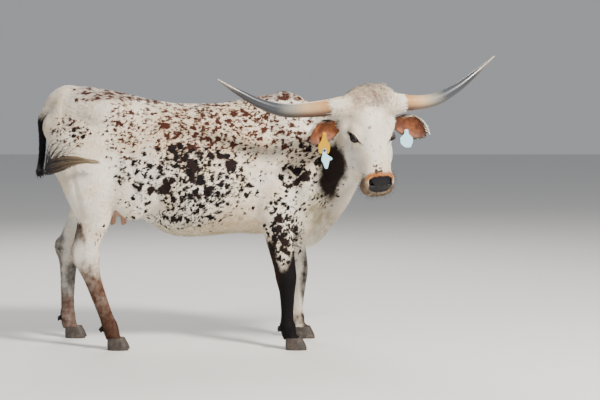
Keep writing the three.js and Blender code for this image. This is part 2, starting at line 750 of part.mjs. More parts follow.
// A flat, tapered, bent lock from its root along a direction, curling towards a second one
function lock(root, along, curl, face, length, width, { thick = 5, sunk = 12, clear = 0 } = {}) {
  const points = [
    root.clone().addScaledVector(along, -sunk),
    root.clone().addScaledVector(along, length * 0.33),
    root.clone().addScaledVector(along, length * 0.66).addScaledVector(curl, length * 0.1),
    root.clone().addScaledVector(along, length * 0.78).addScaledVector(curl, length * 0.35),
  ];
  if (clear) points.slice(1).forEach((point) => clearOf(point, clear));
  const curve = curveThrough(points);
  const widths = [0.5, 0.95, 0.9, 0.1];
  return loft(widths.map((w, k) => {
    const h = thick * (k === widths.length - 1 ? 0.2 : Math.sqrt(w));
    return ringAcross(curve, k / (widths.length - 1), face, (w * width) / 2, h, 4);
  }));
}

// Hooves: two claws to a foot, pointed forward, with a flat sole
function claw(x, y, turn, length, width) {
  const levels = [[0, 1, 0], [HOOF_HEIGHT * 0.4, 0.93, -4], [HOOF_HEIGHT - GAP, 0.74, -11]];
  return loft(levels.map(([z, scale, shift]) => Array.from({ length: 12 }, (_, i) => {
    const angle = (2 * Math.PI * i) / 12;
    const long = Math.cos(angle) * (Math.cos(angle) > 0 ? 0.6 : 0.4) * length * scale;
    const wide = Math.sin(angle) * 0.5 * width * scale;
    const [c, s] = [Math.cos(turn), Math.sin(turn)];
    return new THREE.Vector3(x + shift + long * c - wide * s, y + long * s + wide * c, z);
  })));
}

// The flesh, meshed finer on the head
const BODY_CELL = 15;
const HEAD_CELL = 7.5;
const HEAD_CUT = { at: fromFace(95, -150, 0), towards: new THREE.Vector3(0.62, -0.72, 0.3).normalize() };
const bodyMesh = thin(surface(flesh, [-870, -360, 40], [900, 340, 1400], BODY_CELL), 4000);
const headMesh = thin(surface(flesh, [590, -640, 760], [1130, -40, 1420], HEAD_CELL), 2400);

const bodyAll = solid(bodyMesh);
const headAll = solid(headMesh);

// Half-space cuts: keeps what lies beyond a plane, moved along its normal by half the gap
const halfGap = GAP / 2;
const beyond = (shape, normal, at) =>
  shape.trimByPlane(normal.toArray(), normal.dot(at) + halfGap);
const behind = (shape, normal, at) =>
  shape.trimByPlane(normal.clone().negate().toArray(), -normal.dot(at) + halfGap);

let head = beyond(headAll, HEAD_CUT.towards, HEAD_CUT.at);
let trunk = behind(bodyAll, HEAD_CUT.towards, HEAD_CUT.at);
trunk = trunk.trimByPlane([0, 0, 1], HOOF_HEIGHT);

// Leg regions: an outline seen from the side, pushed through one flank of the body
function legRegion(outline, inner, sign, grow) {
  const shape = new THREE.Shape();
  outline(shape, grow);
  const depth = 420 - inner + grow;
  const geometry = new THREE.ExtrudeGeometry(shape, { depth, bevelEnabled: false, curveSegments: 8 });
  geometry.rotateX(Math.PI / 2);
  geometry.translate(0, sign > 0 ? 420 : -inner + grow, 0);
  return solidOf(geometry);
}
function thighOutline(shape, grow) {
  shape.moveTo(-950 - grow, -60);
  shape.lineTo(-950 - grow, 950 + grow);
  shape.quadraticCurveTo(-790, 1180 + grow, -620, 1190 + grow);
  shape.quadraticCurveTo(-470 + grow, 1180 + grow, -420 + grow, 900);
  shape.quadraticCurveTo(-400 + grow, 780, -352 + grow, 690);
  shape.lineTo(-352 + grow, -60);
}
function shoulderOutline(shape, grow) {
  shape.moveTo(300 - grow, -60);
  shape.lineTo(300 - grow, 720);
  shape.quadraticCurveTo(300 - grow, 960, 380 - grow, 1190);
  shape.quadraticCurveTo(430, 1262 + grow, 500 + grow, 1180);
  shape.quadraticCurveTo(640 + grow, 1000, 664 + grow, 850);
  shape.quadraticCurveTo(660 + grow, 740 - grow, 575 + grow, 700 - grow);
  shape.lineTo(575 + grow, -60);
}

const THIGH_INNER = 70;
const SHOULDER_INNER = 96;
const pieces = {};
const legs = [
  ["hind", "right", -1, thighOutline, THIGH_INNER, HIND_JOINTS.right, 3],
  ["hind", "left", 1, thighOutline, THIGH_INNER, HIND_JOINTS.left, 3],
  ["fore", "right", -1, shoulderOutline, SHOULDER_INNER, FORE_JOINTS.right, 2],
  ["fore", "left", 1, shoulderOutline, SHOULDER_INNER, FORE_JOINTS.left, 2],
];
for (const [pair, which, sign, outline, inner, joints, middle] of legs) {
  const whole = largest(trunk.intersect(legRegion(outline, inner, sign, 0)));
  trunk = trunk.subtract(legRegion(outline, inner, sign, GAP));
  const bend = v(joints[middle]);
  const level = new THREE.Vector3(0, 0, 1);
  pieces[`${pair}_leg_upper_${which}`] = largest(beyond(whole, level, bend));
  pieces[`${pair}_leg_lower_${which}`] = largest(behind(whole, level, bend));
  const [hx, hy] = joints[joints.length - 1];
  for (const [name, apart] of [["inner", -sign], ["outer", sign]])
    pieces[`${pair}_hoof_${which}_${name}`] = claw(hx + 14, hy + apart * 25, apart * 0.05, 112, 46);
}

// Neck and torso part along a slanted plane before the shoulders
const NECK_CUT = { at: v([545, 0, 1090]), towards: v([0.86, -0.2, 0.1]).normalize() };
pieces.neck = largest(beyond(trunk, NECK_CUT.towards, NECK_CUT.at));
pieces.torso = largest(behind(trunk, NECK_CUT.towards, NECK_CUT.at));

// Tail
const tailRows = TAIL.map((row) => [...row]);
tailRows.slice(2).forEach((row) => {
  const point = clearOf(v(row.slice(0, 3)), row[3] + 9);
  [row[0], row[1], row[2]] = point.toArray();
});
const tailCurve = curveThrough(tailRows.map((row) => v(row.slice(0, 3))));
function tailPart(from, to, steps, extra = 0) {
  return loft(Array.from({ length: steps + 1 }, (_, k) => {
    const t = mix(from, to, k / steps);
    const row = splineRow(tailRows, t * (tailRows.length - 1));
    return ringAcross(tailCurve, t, new THREE.Vector3(0, 1, 0.3), row[4] + extra, row[3] + extra, 10);
  }));
}
pieces.torso = largest(pieces.torso.subtract(tailPart(0, 0.5, 8, GAP)));
pieces.tail_upper = shortRoot(tailPart(0, 0.5, 8), tailCurve.getPoint(0), tailCurve.getTangent(0));
pieces.tail_lower = tailPart(0.502, 0.86, 6);

// The switch: locks along the end of the tail, blown forward beside the thigh
let seed = 7;
const random = () => {
  seed = (seed * 16807) % 2147483647;
  return seed / 2147483647;
};
const SWITCH = [
  [-764, -300, 928],
  [-730, -318, 948],
  [-670, -330, 966],
  [-590, -338, 982],
  [-520, -335, 978],
];
const switchCurve = curveThrough(SWITCH.map((p) => clearOf(v(p), 44)));
let switchSolid = tailPart(0.864, 1, 3).add(loft([1, 1.3, 1.1, 0.5].map((w, k) =>
  ringAcross(switchCurve, k * 0.28, new THREE.Vector3(0, 1, 0), 13 * w, 9 * w, 7))));
for (let k = 0; k < 14; k++) {
  const at = mix(0, 0.62, k / 13);
  const root = switchCurve.getPoint(at);
  const tangent = switchCurve.getTangent(at);
  const rise = mix(-0.42, 0.5, random()) * mix(1, 0.6, at);
  const along = tangent.clone().add(new THREE.Vector3(0, mix(-0.16, 0.04, random()), rise)).normalize();
  const curl = tangent.clone().add(new THREE.Vector3(0, 0, -rise - 0.25)).normalize();
  const length = mix(230, 130, at) * mix(0.8, 1.15, random());
  const face = new THREE.Vector3(0, 1, 0);
  switchSolid = switchSolid.add(lock(root, along, curl, face, length, 30, { clear: 20 }));
}
pieces.tail_switch = largest(switchSolid);

// Udder
const UDDER_AT = [-420, 0, 742];
const UDDER_CLEAR = 0.4;
const UDDER_RADII = [92, 84, 70];
const TEAT_RADII = [15, 12, 11, 5];
function udderBag(extra) {
  const bag = new THREE.SphereGeometry(1, 14, 10);
  bag.scale(...UDDER_RADII.map((r) => r + extra));
  bag.translate(...UDDER_AT);
  return solidOf(bag);
}
let udder = udderBag(0);
for (const [dx, dy] of [[-36, -30], [-36, 30], [14, -30], [14, 30]]) {
  const teat = curveThrough([
    new THREE.Vector3(UDDER_AT[0] + dx, dy, UDDER_AT[2] - 40),
    new THREE.Vector3(UDDER_AT[0] + dx * 1.1, dy * 1.1, UDDER_AT[2] - 76),
    new THREE.Vector3(UDDER_AT[0] + dx * 1.15, dy * 1.2, UDDER_AT[2] - 112),
  ]);
  udder = udder.add(loft(TEAT_RADII.map((r, k) =>
    ringAcross(teat, k / (TEAT_RADII.length - 1), v([0, 1, 0]), r, r, 7))));
}
pieces.udder = udder;
for (const name of ["torso", "hind_leg_upper_right", "hind_leg_upper_left"])
  pieces[name] = largest(pieces[name].subtract(udderBag(UDDER_CLEAR)));

// Eyes: a ball, and lids as a shell over it that leaves an almond open
const eyeBall = (radius, sign) => {
  const ball = new THREE.SphereGeometry(radius, 16, 10);
  ball.translate(...fromFace(EYE[0], EYE[1], sign * EYE[2]).toArray());
  return solidOf(ball);
};
const EYE_OPEN_LONG = 62;
const EYE_OPEN_HIGH = 34;
function lids(sign) {
  const centre = fromFace(EYE[0], EYE[1], sign * EYE[2]);
  const gaze = side.clone().multiplyScalar(sign * 0.74).addScaledVector(out, 0.62);
  gaze.addScaledVector(down, 0.1).normalize();
  const long = down.clone().multiplyScalar(0.7).addScaledVector(side, -0.55 * sign);
  long.addScaledVector(out, 0.3);
  long.addScaledVector(gaze, -long.dot(gaze)).normalize();
  const high = new THREE.Vector3().crossVectors(gaze, long);
  const sections = 14;
  const rings = Array.from({ length: sections }, (_, k) => {
    const turn = (2 * Math.PI * k) / sections;
    const open = 1 / Math.hypot(Math.cos(turn) / EYE_OPEN_LONG, Math.sin(turn) / EYE_OPEN_HIGH);
    const at = (degrees, radius) => {
      const flare = Math.sin(radians(degrees)) * radius;
      return centre.clone().addScaledVector(gaze, Math.cos(radians(degrees)) * radius)
        .addScaledVector(long, Math.cos(turn) * flare).addScaledVector(high, Math.sin(turn) * flare);
    };
    const [inner, outer] = [EYE_RADIUS - 3, EYE_RADIUS + 4.5];
    return [at(open, inner), at(open, outer - 1.5), at(open + 9, outer), at(84, outer - 1), at(84, inner)];
  });
  return torus(rings);
}

const headPoint = (a, n, l) => headField(...fromFace(a, n, l).toArray());
// The mouth: a thin groove cut where a slanted plane meets the skin of the muzzle
function mouthGroove() {
  const rings = [];
  const steps = 16;
  for (let k = 0; k <= steps; k++) {
    const turn = mix(-2.05, 2.05, k / steps);
    const [da, dl] = [Math.cos(turn), Math.sin(turn)];
    const level = (a) => -70 - 0.1 * (a - 345);
    let reach = 20;
    while (reach < 110 && headPoint(385 + da * reach, level(385 + da * reach), dl * reach) < 0) reach += 1;
    const end = Math.abs(k / steps - 0.5) > 0.45;
    const corner = (away, lift) =>
      fromFace(385 + da * away, level(385 + da * away) + lift, dl * away);
    const inner = end ? reach - 3 : reach - 12;
    rings.push([corner(inner, -0.5), corner(inner, 0.5), corner(reach + 8, 2), corner(reach + 8, -2)]);
  }
  return loft(rings);
}

function nostril(sign) {
  const hole = new THREE.SphereGeometry(1, 10, 8);
  const long = down.clone().multiplyScalar(0.7).addScaledVector(out, -0.42);
  long.addScaledVector(side, -0.5 * sign);
  const deep = down.clone().multiplyScalar(0.6).addScaledVector(out, 0.75);
  deep.addScaledVector(long.normalize(), -deep.dot(long)).normalize();
  const wide = new THREE.Vector3().crossVectors(deep, long);
  hole.applyMatrix4(new THREE.Matrix4().makeScale(17, 8, 15));
  hole.applyMatrix4(new THREE.Matrix4().makeBasis(long, wide, deep));
  hole.translate(...fromFace(406, 2, sign * 49).toArray());
  return solidOf(hole);
}

// Ear tags: flat plates on pins that go through the ear
const tagBasis = new THREE.Matrix4().makeBasis(levelSide, new THREE.Vector3(0, 0, 1), forward);
const TAG_THICKNESS = 2.4;
function tagPlate(outline, at, front) {
  const shape = new THREE.Shape(outline.map(([x, y]) => new THREE.Vector2(x, y)));
  const plate = new THREE.ExtrudeGeometry(shape, { depth: TAG_THICKNESS, bevelEnabled: false });
  plate.translate(0, 0, front);
  plate.applyMatrix4(tagBasis);
  plate.translate(...at.toArray());
  return solidOf(plate);
}
function pin(at, radius, from, to) {
  const rod = new THREE.CylinderGeometry(radius, radius, to - from, 12);
  rod.rotateX(Math.PI / 2);
  rod.translate(0, 0, (from + to) / 2);
  rod.applyMatrix4(tagBasis);
  rod.translate(...at.toArray());
  return solidOf(rod);
}
const PANEL = [[-9, 12], [9, 12], [11, -14], [18, -32], [30, -46], [30, -76], [22, -96], [0, -88],
  [-22, -96], [-30, -76], [-30, -46], [-18, -32], [-11, -14]];
const FOB = [[-9, 9], [9, 9], [10, -16], [22, -26], [42, -38], [40, -48], [26, -50], [24, -64], [16, -92],
  [4, -92], [-8, -62], [-17, -48], [-12, -26], [-10, -12]];
const HOUSE = [[-9, 10], [9, 10], [12, -12], [36, -34], [34, -58], [24, -82], [-6, -82], [-30, -64],
  [-34, -34], [-12, -12]];
const TAG_AT = { right: fromLevel(-231, -30, -135), left: fromLevel(205, -30, -150) };
const STUD_AT = TAG_AT.right.clone().addScaledVector(new THREE.Vector3(0, 0, 1), -78);
const PIN_RADIUS = 3;
const BUTTON_RADIUS = 11;
const PLATE_FRONT = 14;
const PIN_BACK = -30;

for (const [which, sign] of [["right", -1], ["left", 1]]) {
  head = head.add(lids(sign)).subtract(eyeBall(EYE_RADIUS + GAP, sign));
  pieces[`eye_${which}`] = eyeBall(EYE_RADIUS, sign);
  head = head.subtract(nostril(sign));
  pieces[`horn_${which}`] = horn(which);
  const at = TAG_AT[which];
  pieces[`ear_${which}`] = largest(ear(which).subtract(pin(at, PIN_RADIUS + GAP, PIN_BACK - 40, 40)));
}
head = head.subtract(mouthGroove());
const tagPin = (at) =>
  pin(at, PIN_RADIUS, PIN_BACK - 1, PLATE_FRONT + 1).add(pin(at, BUTTON_RADIUS, PIN_BACK - 2, PIN_BACK));
const studHole = pin(STUD_AT, PIN_RADIUS + GAP, -20, 40);
const panel = tagPlate(PANEL, TAG_AT.right, PLATE_FRONT).add(tagPin(TAG_AT.right));
pieces.ear_tag_yellow = panel.subtract(studHole);
pieces.ear_tag_white = tagPlate(FOB, STUD_AT, PLATE_FRONT + TAG_THICKNESS + GAP).subtract(studHole);
const studBack = PLATE_FRONT - GAP;
const studFront = PLATE_FRONT + 2 * TAG_THICKNESS + 2 * GAP;
pieces.ear_tag_stud = pin(STUD_AT, PIN_RADIUS, studBack - 1, studFront + 1)
  .add(pin(STUD_AT, 6, studBack - 2, studBack)).add(pin(STUD_AT, 7, studFront, studFront + 2.5));
pieces.ear_tag_blue = tagPlate(HOUSE, TAG_AT.left, PLATE_FRONT).add(tagPin(TAG_AT.left));

// Locks of the poll, and a ruff of hair round the base of each horn
const POLL_LOCKS = 15;
for (let k = 0; k < POLL_LOCKS; k++) {
  const row = k % 3;
  const l = mix(-66, 118, (k + 0.5 + 0.4 * random()) / POLL_LOCKS);
  const root = fromFace(-78 + row * 42, 60, l);
  for (let pass = 0; pass < 40 && headField(...root.toArray()) > -1; pass++)
    root.addScaledVector(out, -3);
  const along = down.clone().multiplyScalar(0.5 + row * 0.25).addScaledVector(out, 0.5 - row * 0.12)
    .addScaledVector(side, mix(-0.35, 0.35, random()) + (l > 30 ? 0.3 : 0)).normalize();
  const face = out.clone().addScaledVector(down, -0.4).normalize();
  head = head.add(lock(root, along, down, face, mix(50, 74, random()), 38));
}
const RUFF_LOCKS = 7;
for (const sign of [-1, 1])
  for (let k = 0; k < RUFF_LOCKS; k++) {
    const turn = (2 * Math.PI * (k + 0.3 * random())) / RUFF_LOCKS;
    const radial = up.clone().multiplyScalar(Math.cos(turn)).addScaledVector(forward, Math.sin(turn));
    const root = fromLevel(sign * 170, -9, -2).addScaledVector(radial, 47);
    const along = side.clone().multiplyScalar(sign);
    head = head.add(lock(root, along, side.clone().multiplyScalar(sign), radial, mix(26, 38, random()), 40));
  }
for (const which of ["right", "left"]) {
  head = head.subtract(horn(which, GAP)).subtract(earRoot(which));
  pieces.neck = pieces.neck.subtract(earRoot(which));
}
pieces.head = largest(head);
pieces.neck = largest(pieces.neck);

const MATERIALS = {
  coat: [0.78, 0.74, 0.68, 0.85],
  horn: [0.72, 0.62, 0.48, 0.4],
  hoof: [0.12, 0.1, 0.09, 0.5],
  ear: [0.45, 0.2, 0.1, 0.85],
  eye: [0.03, 0.02, 0.02, 0.1],
  udder: [0.4, 0.25, 0.18, 0.6],
  switch: [0.3, 0.24, 0.16, 0.8],
  yellow_tag: [0.9, 0.62, 0.12, 0.5],
  white_tag: [0.72, 0.86, 0.92, 0.5],
  stud: [0.05, 0.06, 0.1, 0.4],
};
const SLOTS = [
  [/yellow/, "yellow_tag"], [/stud/, "stud"], [/tag/, "white_tag"], [/hoof/, "hoof"], [/horn/, "horn"],
  [/ear/, "ear"], [/eye/, "eye"], [/udder/, "udder"], [/switch/, "switch"], [/./, "coat"],
];
const slotOf = (name) => SLOTS.find(([pattern]) => pattern.test(name))[1];

// The origin goes to the middle of the base
const boxes = Object.values(pieces).map((shape) => shape.boundingBox());
const low = [0, 1, 2].map((i) => Math.min(...boxes.map((box) => box.min[i])));
const high = [0, 1, 2].map((i) => Math.max(...boxes.map((box) => box.max[i])));
const shift = [-(low[0] + high[0]) / 2, -(low[1] + high[1]) / 2, -low[2]];

const cow = new THREE.Group();
for (const [name, shape] of Object.entries(pieces)) {
  const mesh = shape.translate(shift).getMesh();
  const points = [];
  const { numProp, numVert, vertProperties } = mesh;
  for (let i = 0; i < numVert; i++) points.push(...vertProperties.subarray(i * numProp, i * numProp + 3));
  const { points: places, faces } = thin({ points, faces: [...mesh.triVerts] }, 0, SEAM_COST);
  const clean = solid({ points: places, faces }).getMesh();
  partCorners(clean.vertProperties, clean.triVerts);
  const geometry = new THREE.BufferGeometry();
  geometry.setAttribute("position", new THREE.BufferAttribute(clean.vertProperties, 3));
  geometry.setIndex(new THREE.BufferAttribute(clean.triVerts, 1));
  geometry.computeVertexNormals();
  const [r, g, b, roughness] = MATERIALS[slotOf(name)];
  const node = new THREE.Mesh(
    geometry,
    new THREE.MeshStandardMaterial({ color: new THREE.Color(r, g, b), roughness, metalness: 0 }),
  );
  node.name = name;
  cow.add(node);
}
export default cow;
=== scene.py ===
import math

import bmesh
import bpy
import numpy as np
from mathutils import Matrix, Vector


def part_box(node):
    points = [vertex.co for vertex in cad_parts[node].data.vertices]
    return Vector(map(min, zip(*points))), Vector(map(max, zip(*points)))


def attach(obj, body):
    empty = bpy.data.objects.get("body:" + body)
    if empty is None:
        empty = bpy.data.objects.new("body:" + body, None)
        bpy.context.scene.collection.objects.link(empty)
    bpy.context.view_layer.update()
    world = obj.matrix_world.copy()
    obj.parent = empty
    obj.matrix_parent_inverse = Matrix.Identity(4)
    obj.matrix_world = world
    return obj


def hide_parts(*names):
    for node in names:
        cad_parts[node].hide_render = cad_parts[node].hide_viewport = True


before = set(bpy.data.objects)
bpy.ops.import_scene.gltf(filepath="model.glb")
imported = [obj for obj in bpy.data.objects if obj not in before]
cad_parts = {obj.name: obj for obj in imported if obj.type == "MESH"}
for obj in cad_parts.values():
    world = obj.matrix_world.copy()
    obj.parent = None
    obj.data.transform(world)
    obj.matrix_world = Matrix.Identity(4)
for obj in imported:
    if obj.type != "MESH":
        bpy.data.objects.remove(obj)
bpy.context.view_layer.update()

METRE = 1000.0
FAR = 1000.0
COAT_DEPTH = 3.0

# Driving dimensions, as in the solids
HOOF_HEIGHT = 62
EYE_RADIUS = 24
HORN_BASE_RADIUS = 46
EAR_LENGTH = 200
EAR_WIDTH = 120
HEAD_AT = np.array([864.0, -330.0, 1263.0])
HEAD_YAW = math.radians(16)
HEAD_PITCH = math.radians(72)
HEAD_ROLL = math.radians(4)

# Tube stations: centre x, y, z, half width, half height, narrowing towards the top
TORSO = [
    (-700, 0, 1086, 165, 236, -0.05),
    (-600, 0, 1066, 215, 276, -0.1),
    (-500, 0, 1045, 235, 297, -0.08),
    (-400, 0, 1021, 238, 305, 0.02),
    (-270, 0, 967, 260, 327, 0.1),
    (-120, 0, 925, 284, 347, 0.14),
    (30, 0, 924, 287, 346, 0.18),
    (170, 0, 936, 266, 346, 0.24),
    (310, 0, 948, 230, 362, 0.33),
    (430, 0, 940, 202, 380, 0.42),
    (530, 0, 922, 176, 372, 0.36),
    (600, 0, 905, 142, 318, 0.25),
]
NECK = [
    (430, 0, 1010, 128, 296, 0.2),
    (560, -30, 1012, 116, 258, 0.15),
    (680, -100, 1045, 100, 208, 0.1),
    (770, -185, 1092, 90, 166, 0),
    (835, -270, 1132, 82, 135, 0),
]
DEWLAP = [
    (500, 0, 600, 62, 70),
    (590, -10, 622, 44, 62),
    (680, -45, 702, 30, 62),
    (752, -110, 800, 26, 60),
    (806, -195, 905, 26, 56),
    (838, -262, 990, 30, 48),
]
TAIL = [
    (-690, 0, 1312, 40, 34),
    (-757, 0, 1278, 31, 28),
    (-803, 0, 1200, 26, 24),
    (-822, 0, 1105, 22, 21),
    (-828, -12, 1020, 20, 19),
    (-828, -62, 952, 18, 18),
    (-820, -150, 918, 17, 17),
    (-800, -236, 915, 15, 15),
    (-764, -300, 928, 12, 12),
]
# Ellipsoids on both sides: centre x, |y|, z, radii, how softly they join
BODY_BUMPS = [
    (-450, 158, 1214, 118, 90, 66, 80),
    (-768, 88, 1150, 42, 38, 56, 55),
    (-655, 0, 1286, 130, 70, 60, 70),
    (578, 148, 862, 92, 66, 122, 70),
    (430, 166, 850, 142, 66, 152, 65),
    (560, 0, 655, 96, 104, 128, 70),
    (-330, 232, 800, 96, 40, 130, 70),
]
FLANK_HOLLOW = (-315, 284, 1140, 100, 46, 108, 60)
SCAPULA = [
    (425, 98, 1235, 38, 74, 0),
    (480, 138, 1110, 48, 88, 0),
    (548, 160, 960, 58, 92, 0),
]
# Legs: joint centres from the top down
HIND_JOINTS = {
    "right": [(-590, -140, 1130), (-548, -188, 840), (-536, -196, 665), (-574, -198, 484),
              (-457, -198, 122), (-436, -198, 50)],
    "left": [(-595, 140, 1130), (-580, 188, 840), (-640, 196, 665), (-722, 198, 484),
             (-738, 198, 122), (-718, 198, 50)],
}
FORE_JOINTS = {
    "right": [(420, -165, 900), (400, -183, 720), (455, -190, 368), (461, -190, 122), (482, -190, 50)],
    "left": [(430, 165, 900), (448, 183, 720), (516, 190, 368), (507, 190, 122), (528, 190, 50)],
}
# Profile rows: place along the joints, half width across, half depth front to back
HIND_PROFILE = [
    (0, 84, 178), (0.5, 104, 176), (0.9, 100, 150), (1.4, 84, 118), (2, 62, 85), (2.5, 49, 72),
    (2.85, 42, 70), (3, 42, 74), (3.12, 39, 64), (3.3, 33, 46), (3.6, 28, 39), (3.85, 29, 37),
    (4, 38, 43), (4.5, 36, 38), (5, 40, 42),
]
FORE_PROFILE = [
    (0, 78, 150), (0.5, 78, 128), (1, 68, 98), (1.4, 56, 74), (1.8, 46, 58), (1.95, 48, 56),
    (2.06, 46, 52), (2.25, 36, 41), (2.6, 28, 34), (2.85, 30, 35), (3, 38, 43), (3.5, 36, 38),
    (4, 41, 43),
]
# Head shapes, in the head's own frame: along the face, out of the face, to its left
SKULL = [
    (-45, -35, 0, 80, 66, 0),
    (30, -48, 0, 100, 102, 0),
    (105, -60, 0, 108, 120, 0.02),
    (165, -68, 0, 106, 126, 0.06),
    (230, -68, 0, 104, 118, 0.12),
    (295, -50, 0, 87, 92, 0.1),
    (345, -36, 0, 75, 72, 0.04),
    (375, -34, 0, 77, 66, 0),
    (400, -40, 0, 78, 59, -0.04),
    (420, -50, 0, 73, 48, -0.04),
    (438, -60, 0, 62, 36, 0),
]
HORN_CORE = [(-2, -8, 40, 60, 58, 0), (2, -8, 120, 57, 54, 0), (4, -8, 184, 50, 50, 0)]
POLL = (-42, -10, 26, 55, 52, 108, 40)
HEAD_BUMPS = [
    (84, -58, 108, 56, 34, 42, 50),
    (152, -8, 81, 50, 38, 34, 30),
    (225, -150, 58, 62, 52, 32, 44),
    (228, -112, 78, 78, 62, 42, 40),
    (408, -62, 50, 40, 38, 36, 26),
    (424, -78, 0, 34, 32, 50, 26),
    (396, -12, 51, 32, 28, 24, 20),
]
EYE = (172, 2, 92)
# Horn centre lines: to the side, forward, up from the level line between the horn bases
HORN_PATHS = {
    "right": [(150, -8, 0), (193, -8, -1), (307, -30, -5), (423, -58, 1), (538, -80, 45),
              (646, -93, 112), (741, -90, 177)],
    "left": [(150, -8, -2), (193, -8, -4), (283, -22, -10), (396, -48, 3), (524, -75, 54),
             (634, -90, 121), (746, -90, 202)],
}
HORN_TAPER = [(0, 1), (0.3, 0.86), (0.5, 0.73), (0.7, 0.5), (0.85, 0.31), (1, 0.07)]
EAR_ROOT = {"right": (126, -60, -94), "left": (132, -60, -92)}
EAR_TIP = {"right": (304, -18, -164), "left": (312, -18, -178)}
EAR_SHAPE = [(0, 0.3), (0.12, 0.42), (0.3, 0.8), (0.5, 1), (0.7, 0.94), (0.88, 0.62), (1, 0.16)]
SIDES = {"right": -1, "left": 1}

UP = np.array([0.0, 0.0, 1.0])
LEFT = np.array([0.0, 1.0, 0.0])


def unit(vectors):
    return vectors / np.maximum(np.linalg.norm(vectors, axis=-1, keepdims=True), 1e-9)


def mix(a, b, t):
    return a + (b - a) * t


def smooth(low, high, value):
    """0 below low, 1 above high, with a soft step between. low may be the larger."""
    t = np.clip((value - low) / (high - low), 0, 1)
    return t * t * (3 - 2 * t)


# The head's axes
forward = np.array([math.sin(HEAD_YAW), -math.cos(HEAD_YAW), 0.0])
level_side = np.array([-forward[1], forward[0], 0.0])
side = level_side * math.cos(HEAD_ROLL) + UP * math.sin(HEAD_ROLL)
head_up = UP * math.cos(HEAD_ROLL) - level_side * math.sin(HEAD_ROLL)
down_face = forward * math.cos(HEAD_PITCH) - head_up * math.sin(HEAD_PITCH)
out_of_face = forward * math.sin(HEAD_PITCH) + head_up * math.cos(HEAD_PITCH)


def from_face(a, n, l):
    """A point from its place along the face, out of it and to its left."""
    a, n, l = (np.asarray(q, float)[..., None] for q in (a, n, l))
    return HEAD_AT + down_face * a + out_of_face * n + side * l


def on_face(points):
    """The same three numbers from points."""
    offset = points - HEAD_AT
    return offset @ down_face, offset @ out_of_face, offset @ side


def from_level(l, f, u):
    return HEAD_AT + side * l + forward * f + head_up * u


EYE_CENTRES = {which: from_face(EYE[0], EYE[1], sign * EYE[2]) for which, sign in SIDES.items()}
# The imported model's origin is in the middle of its base, so one eye's place gives the shift to it
EYE_BOX = np.array(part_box("eye_right"))
SHIFT = EYE_BOX.sum(0) / 2 * METRE - EYE_CENTRES["right"]


def placed(points):
    """Points of the cow's own frame in the model's frame, in metres."""
    return (np.asarray(points) + SHIFT) / METRE


# Curves and tubes
def spline_rows(rows, t):
    """Catmull-Rom values through rows of numbers, at places counted in rows."""
    rows = np.asarray(rows, float)
    t = np.atleast_1d(np.asarray(t, float))
    i = np.clip(np.floor(t).astype(int), 0, len(rows) - 2)
    f = (t - i)[:, None]
    a, b, c, d = (rows[np.clip(i + k, 0, len(rows) - 1)] for k in (-1, 0, 1, 2))
    return 0.5 * (2 * b + (c - a) * f + (2 * a - 5 * b + 4 * c - d) * f**2 + (3 * b - a - 3 * c + d) * f**3)


class Path:
    """A centripetal Catmull-Rom curve through points, from 0 to 1."""

    def __init__(self, points):
        points = np.asarray(points, float)
        first = 2 * points[0] - points[1]
        last = 2 * points[-1] - points[-2]
        self.points = np.vstack([first, points, last])

    def at(self, t):
        t = np.atleast_1d(np.asarray(t, float))
        spans = len(self.points) - 3
        place = t * spans
        i = np.clip(np.floor(place).astype(int), 0, spans - 1)
        f = (place - i)[:, None]
        p0, p1, p2, p3 = (self.points[i + k] for k in range(4))
        s0, s1, s2 = (np.sqrt(np.linalg.norm(b - a, axis=1, keepdims=True)) for a, b in
                      ((p0, p1), (p1, p2), (p2, p3)))
        m1 = ((p1 - p0) / s0 - (p2 - p0) / (s0 + s1) + (p2 - p1) / s1) * s1
        m2 = ((p2 - p1) / s1 - (p3 - p1) / (s1 + s2) + (p3 - p2) / s2) * s1
        return p1 + m1 * f + (3 * (p2 - p1) - 2 * m1 - m2) * f**2 + (2 * (p1 - p2) + m1 + m2) * f**3

    def along(self, t):
        """The direction of the curve."""
        t = np.atleast_1d(np.asarray(t, float))
        step = 1e-4
        return unit(self.at(np.minimum(t + step, 1)) - self.at(np.maximum(t - step, 0)))


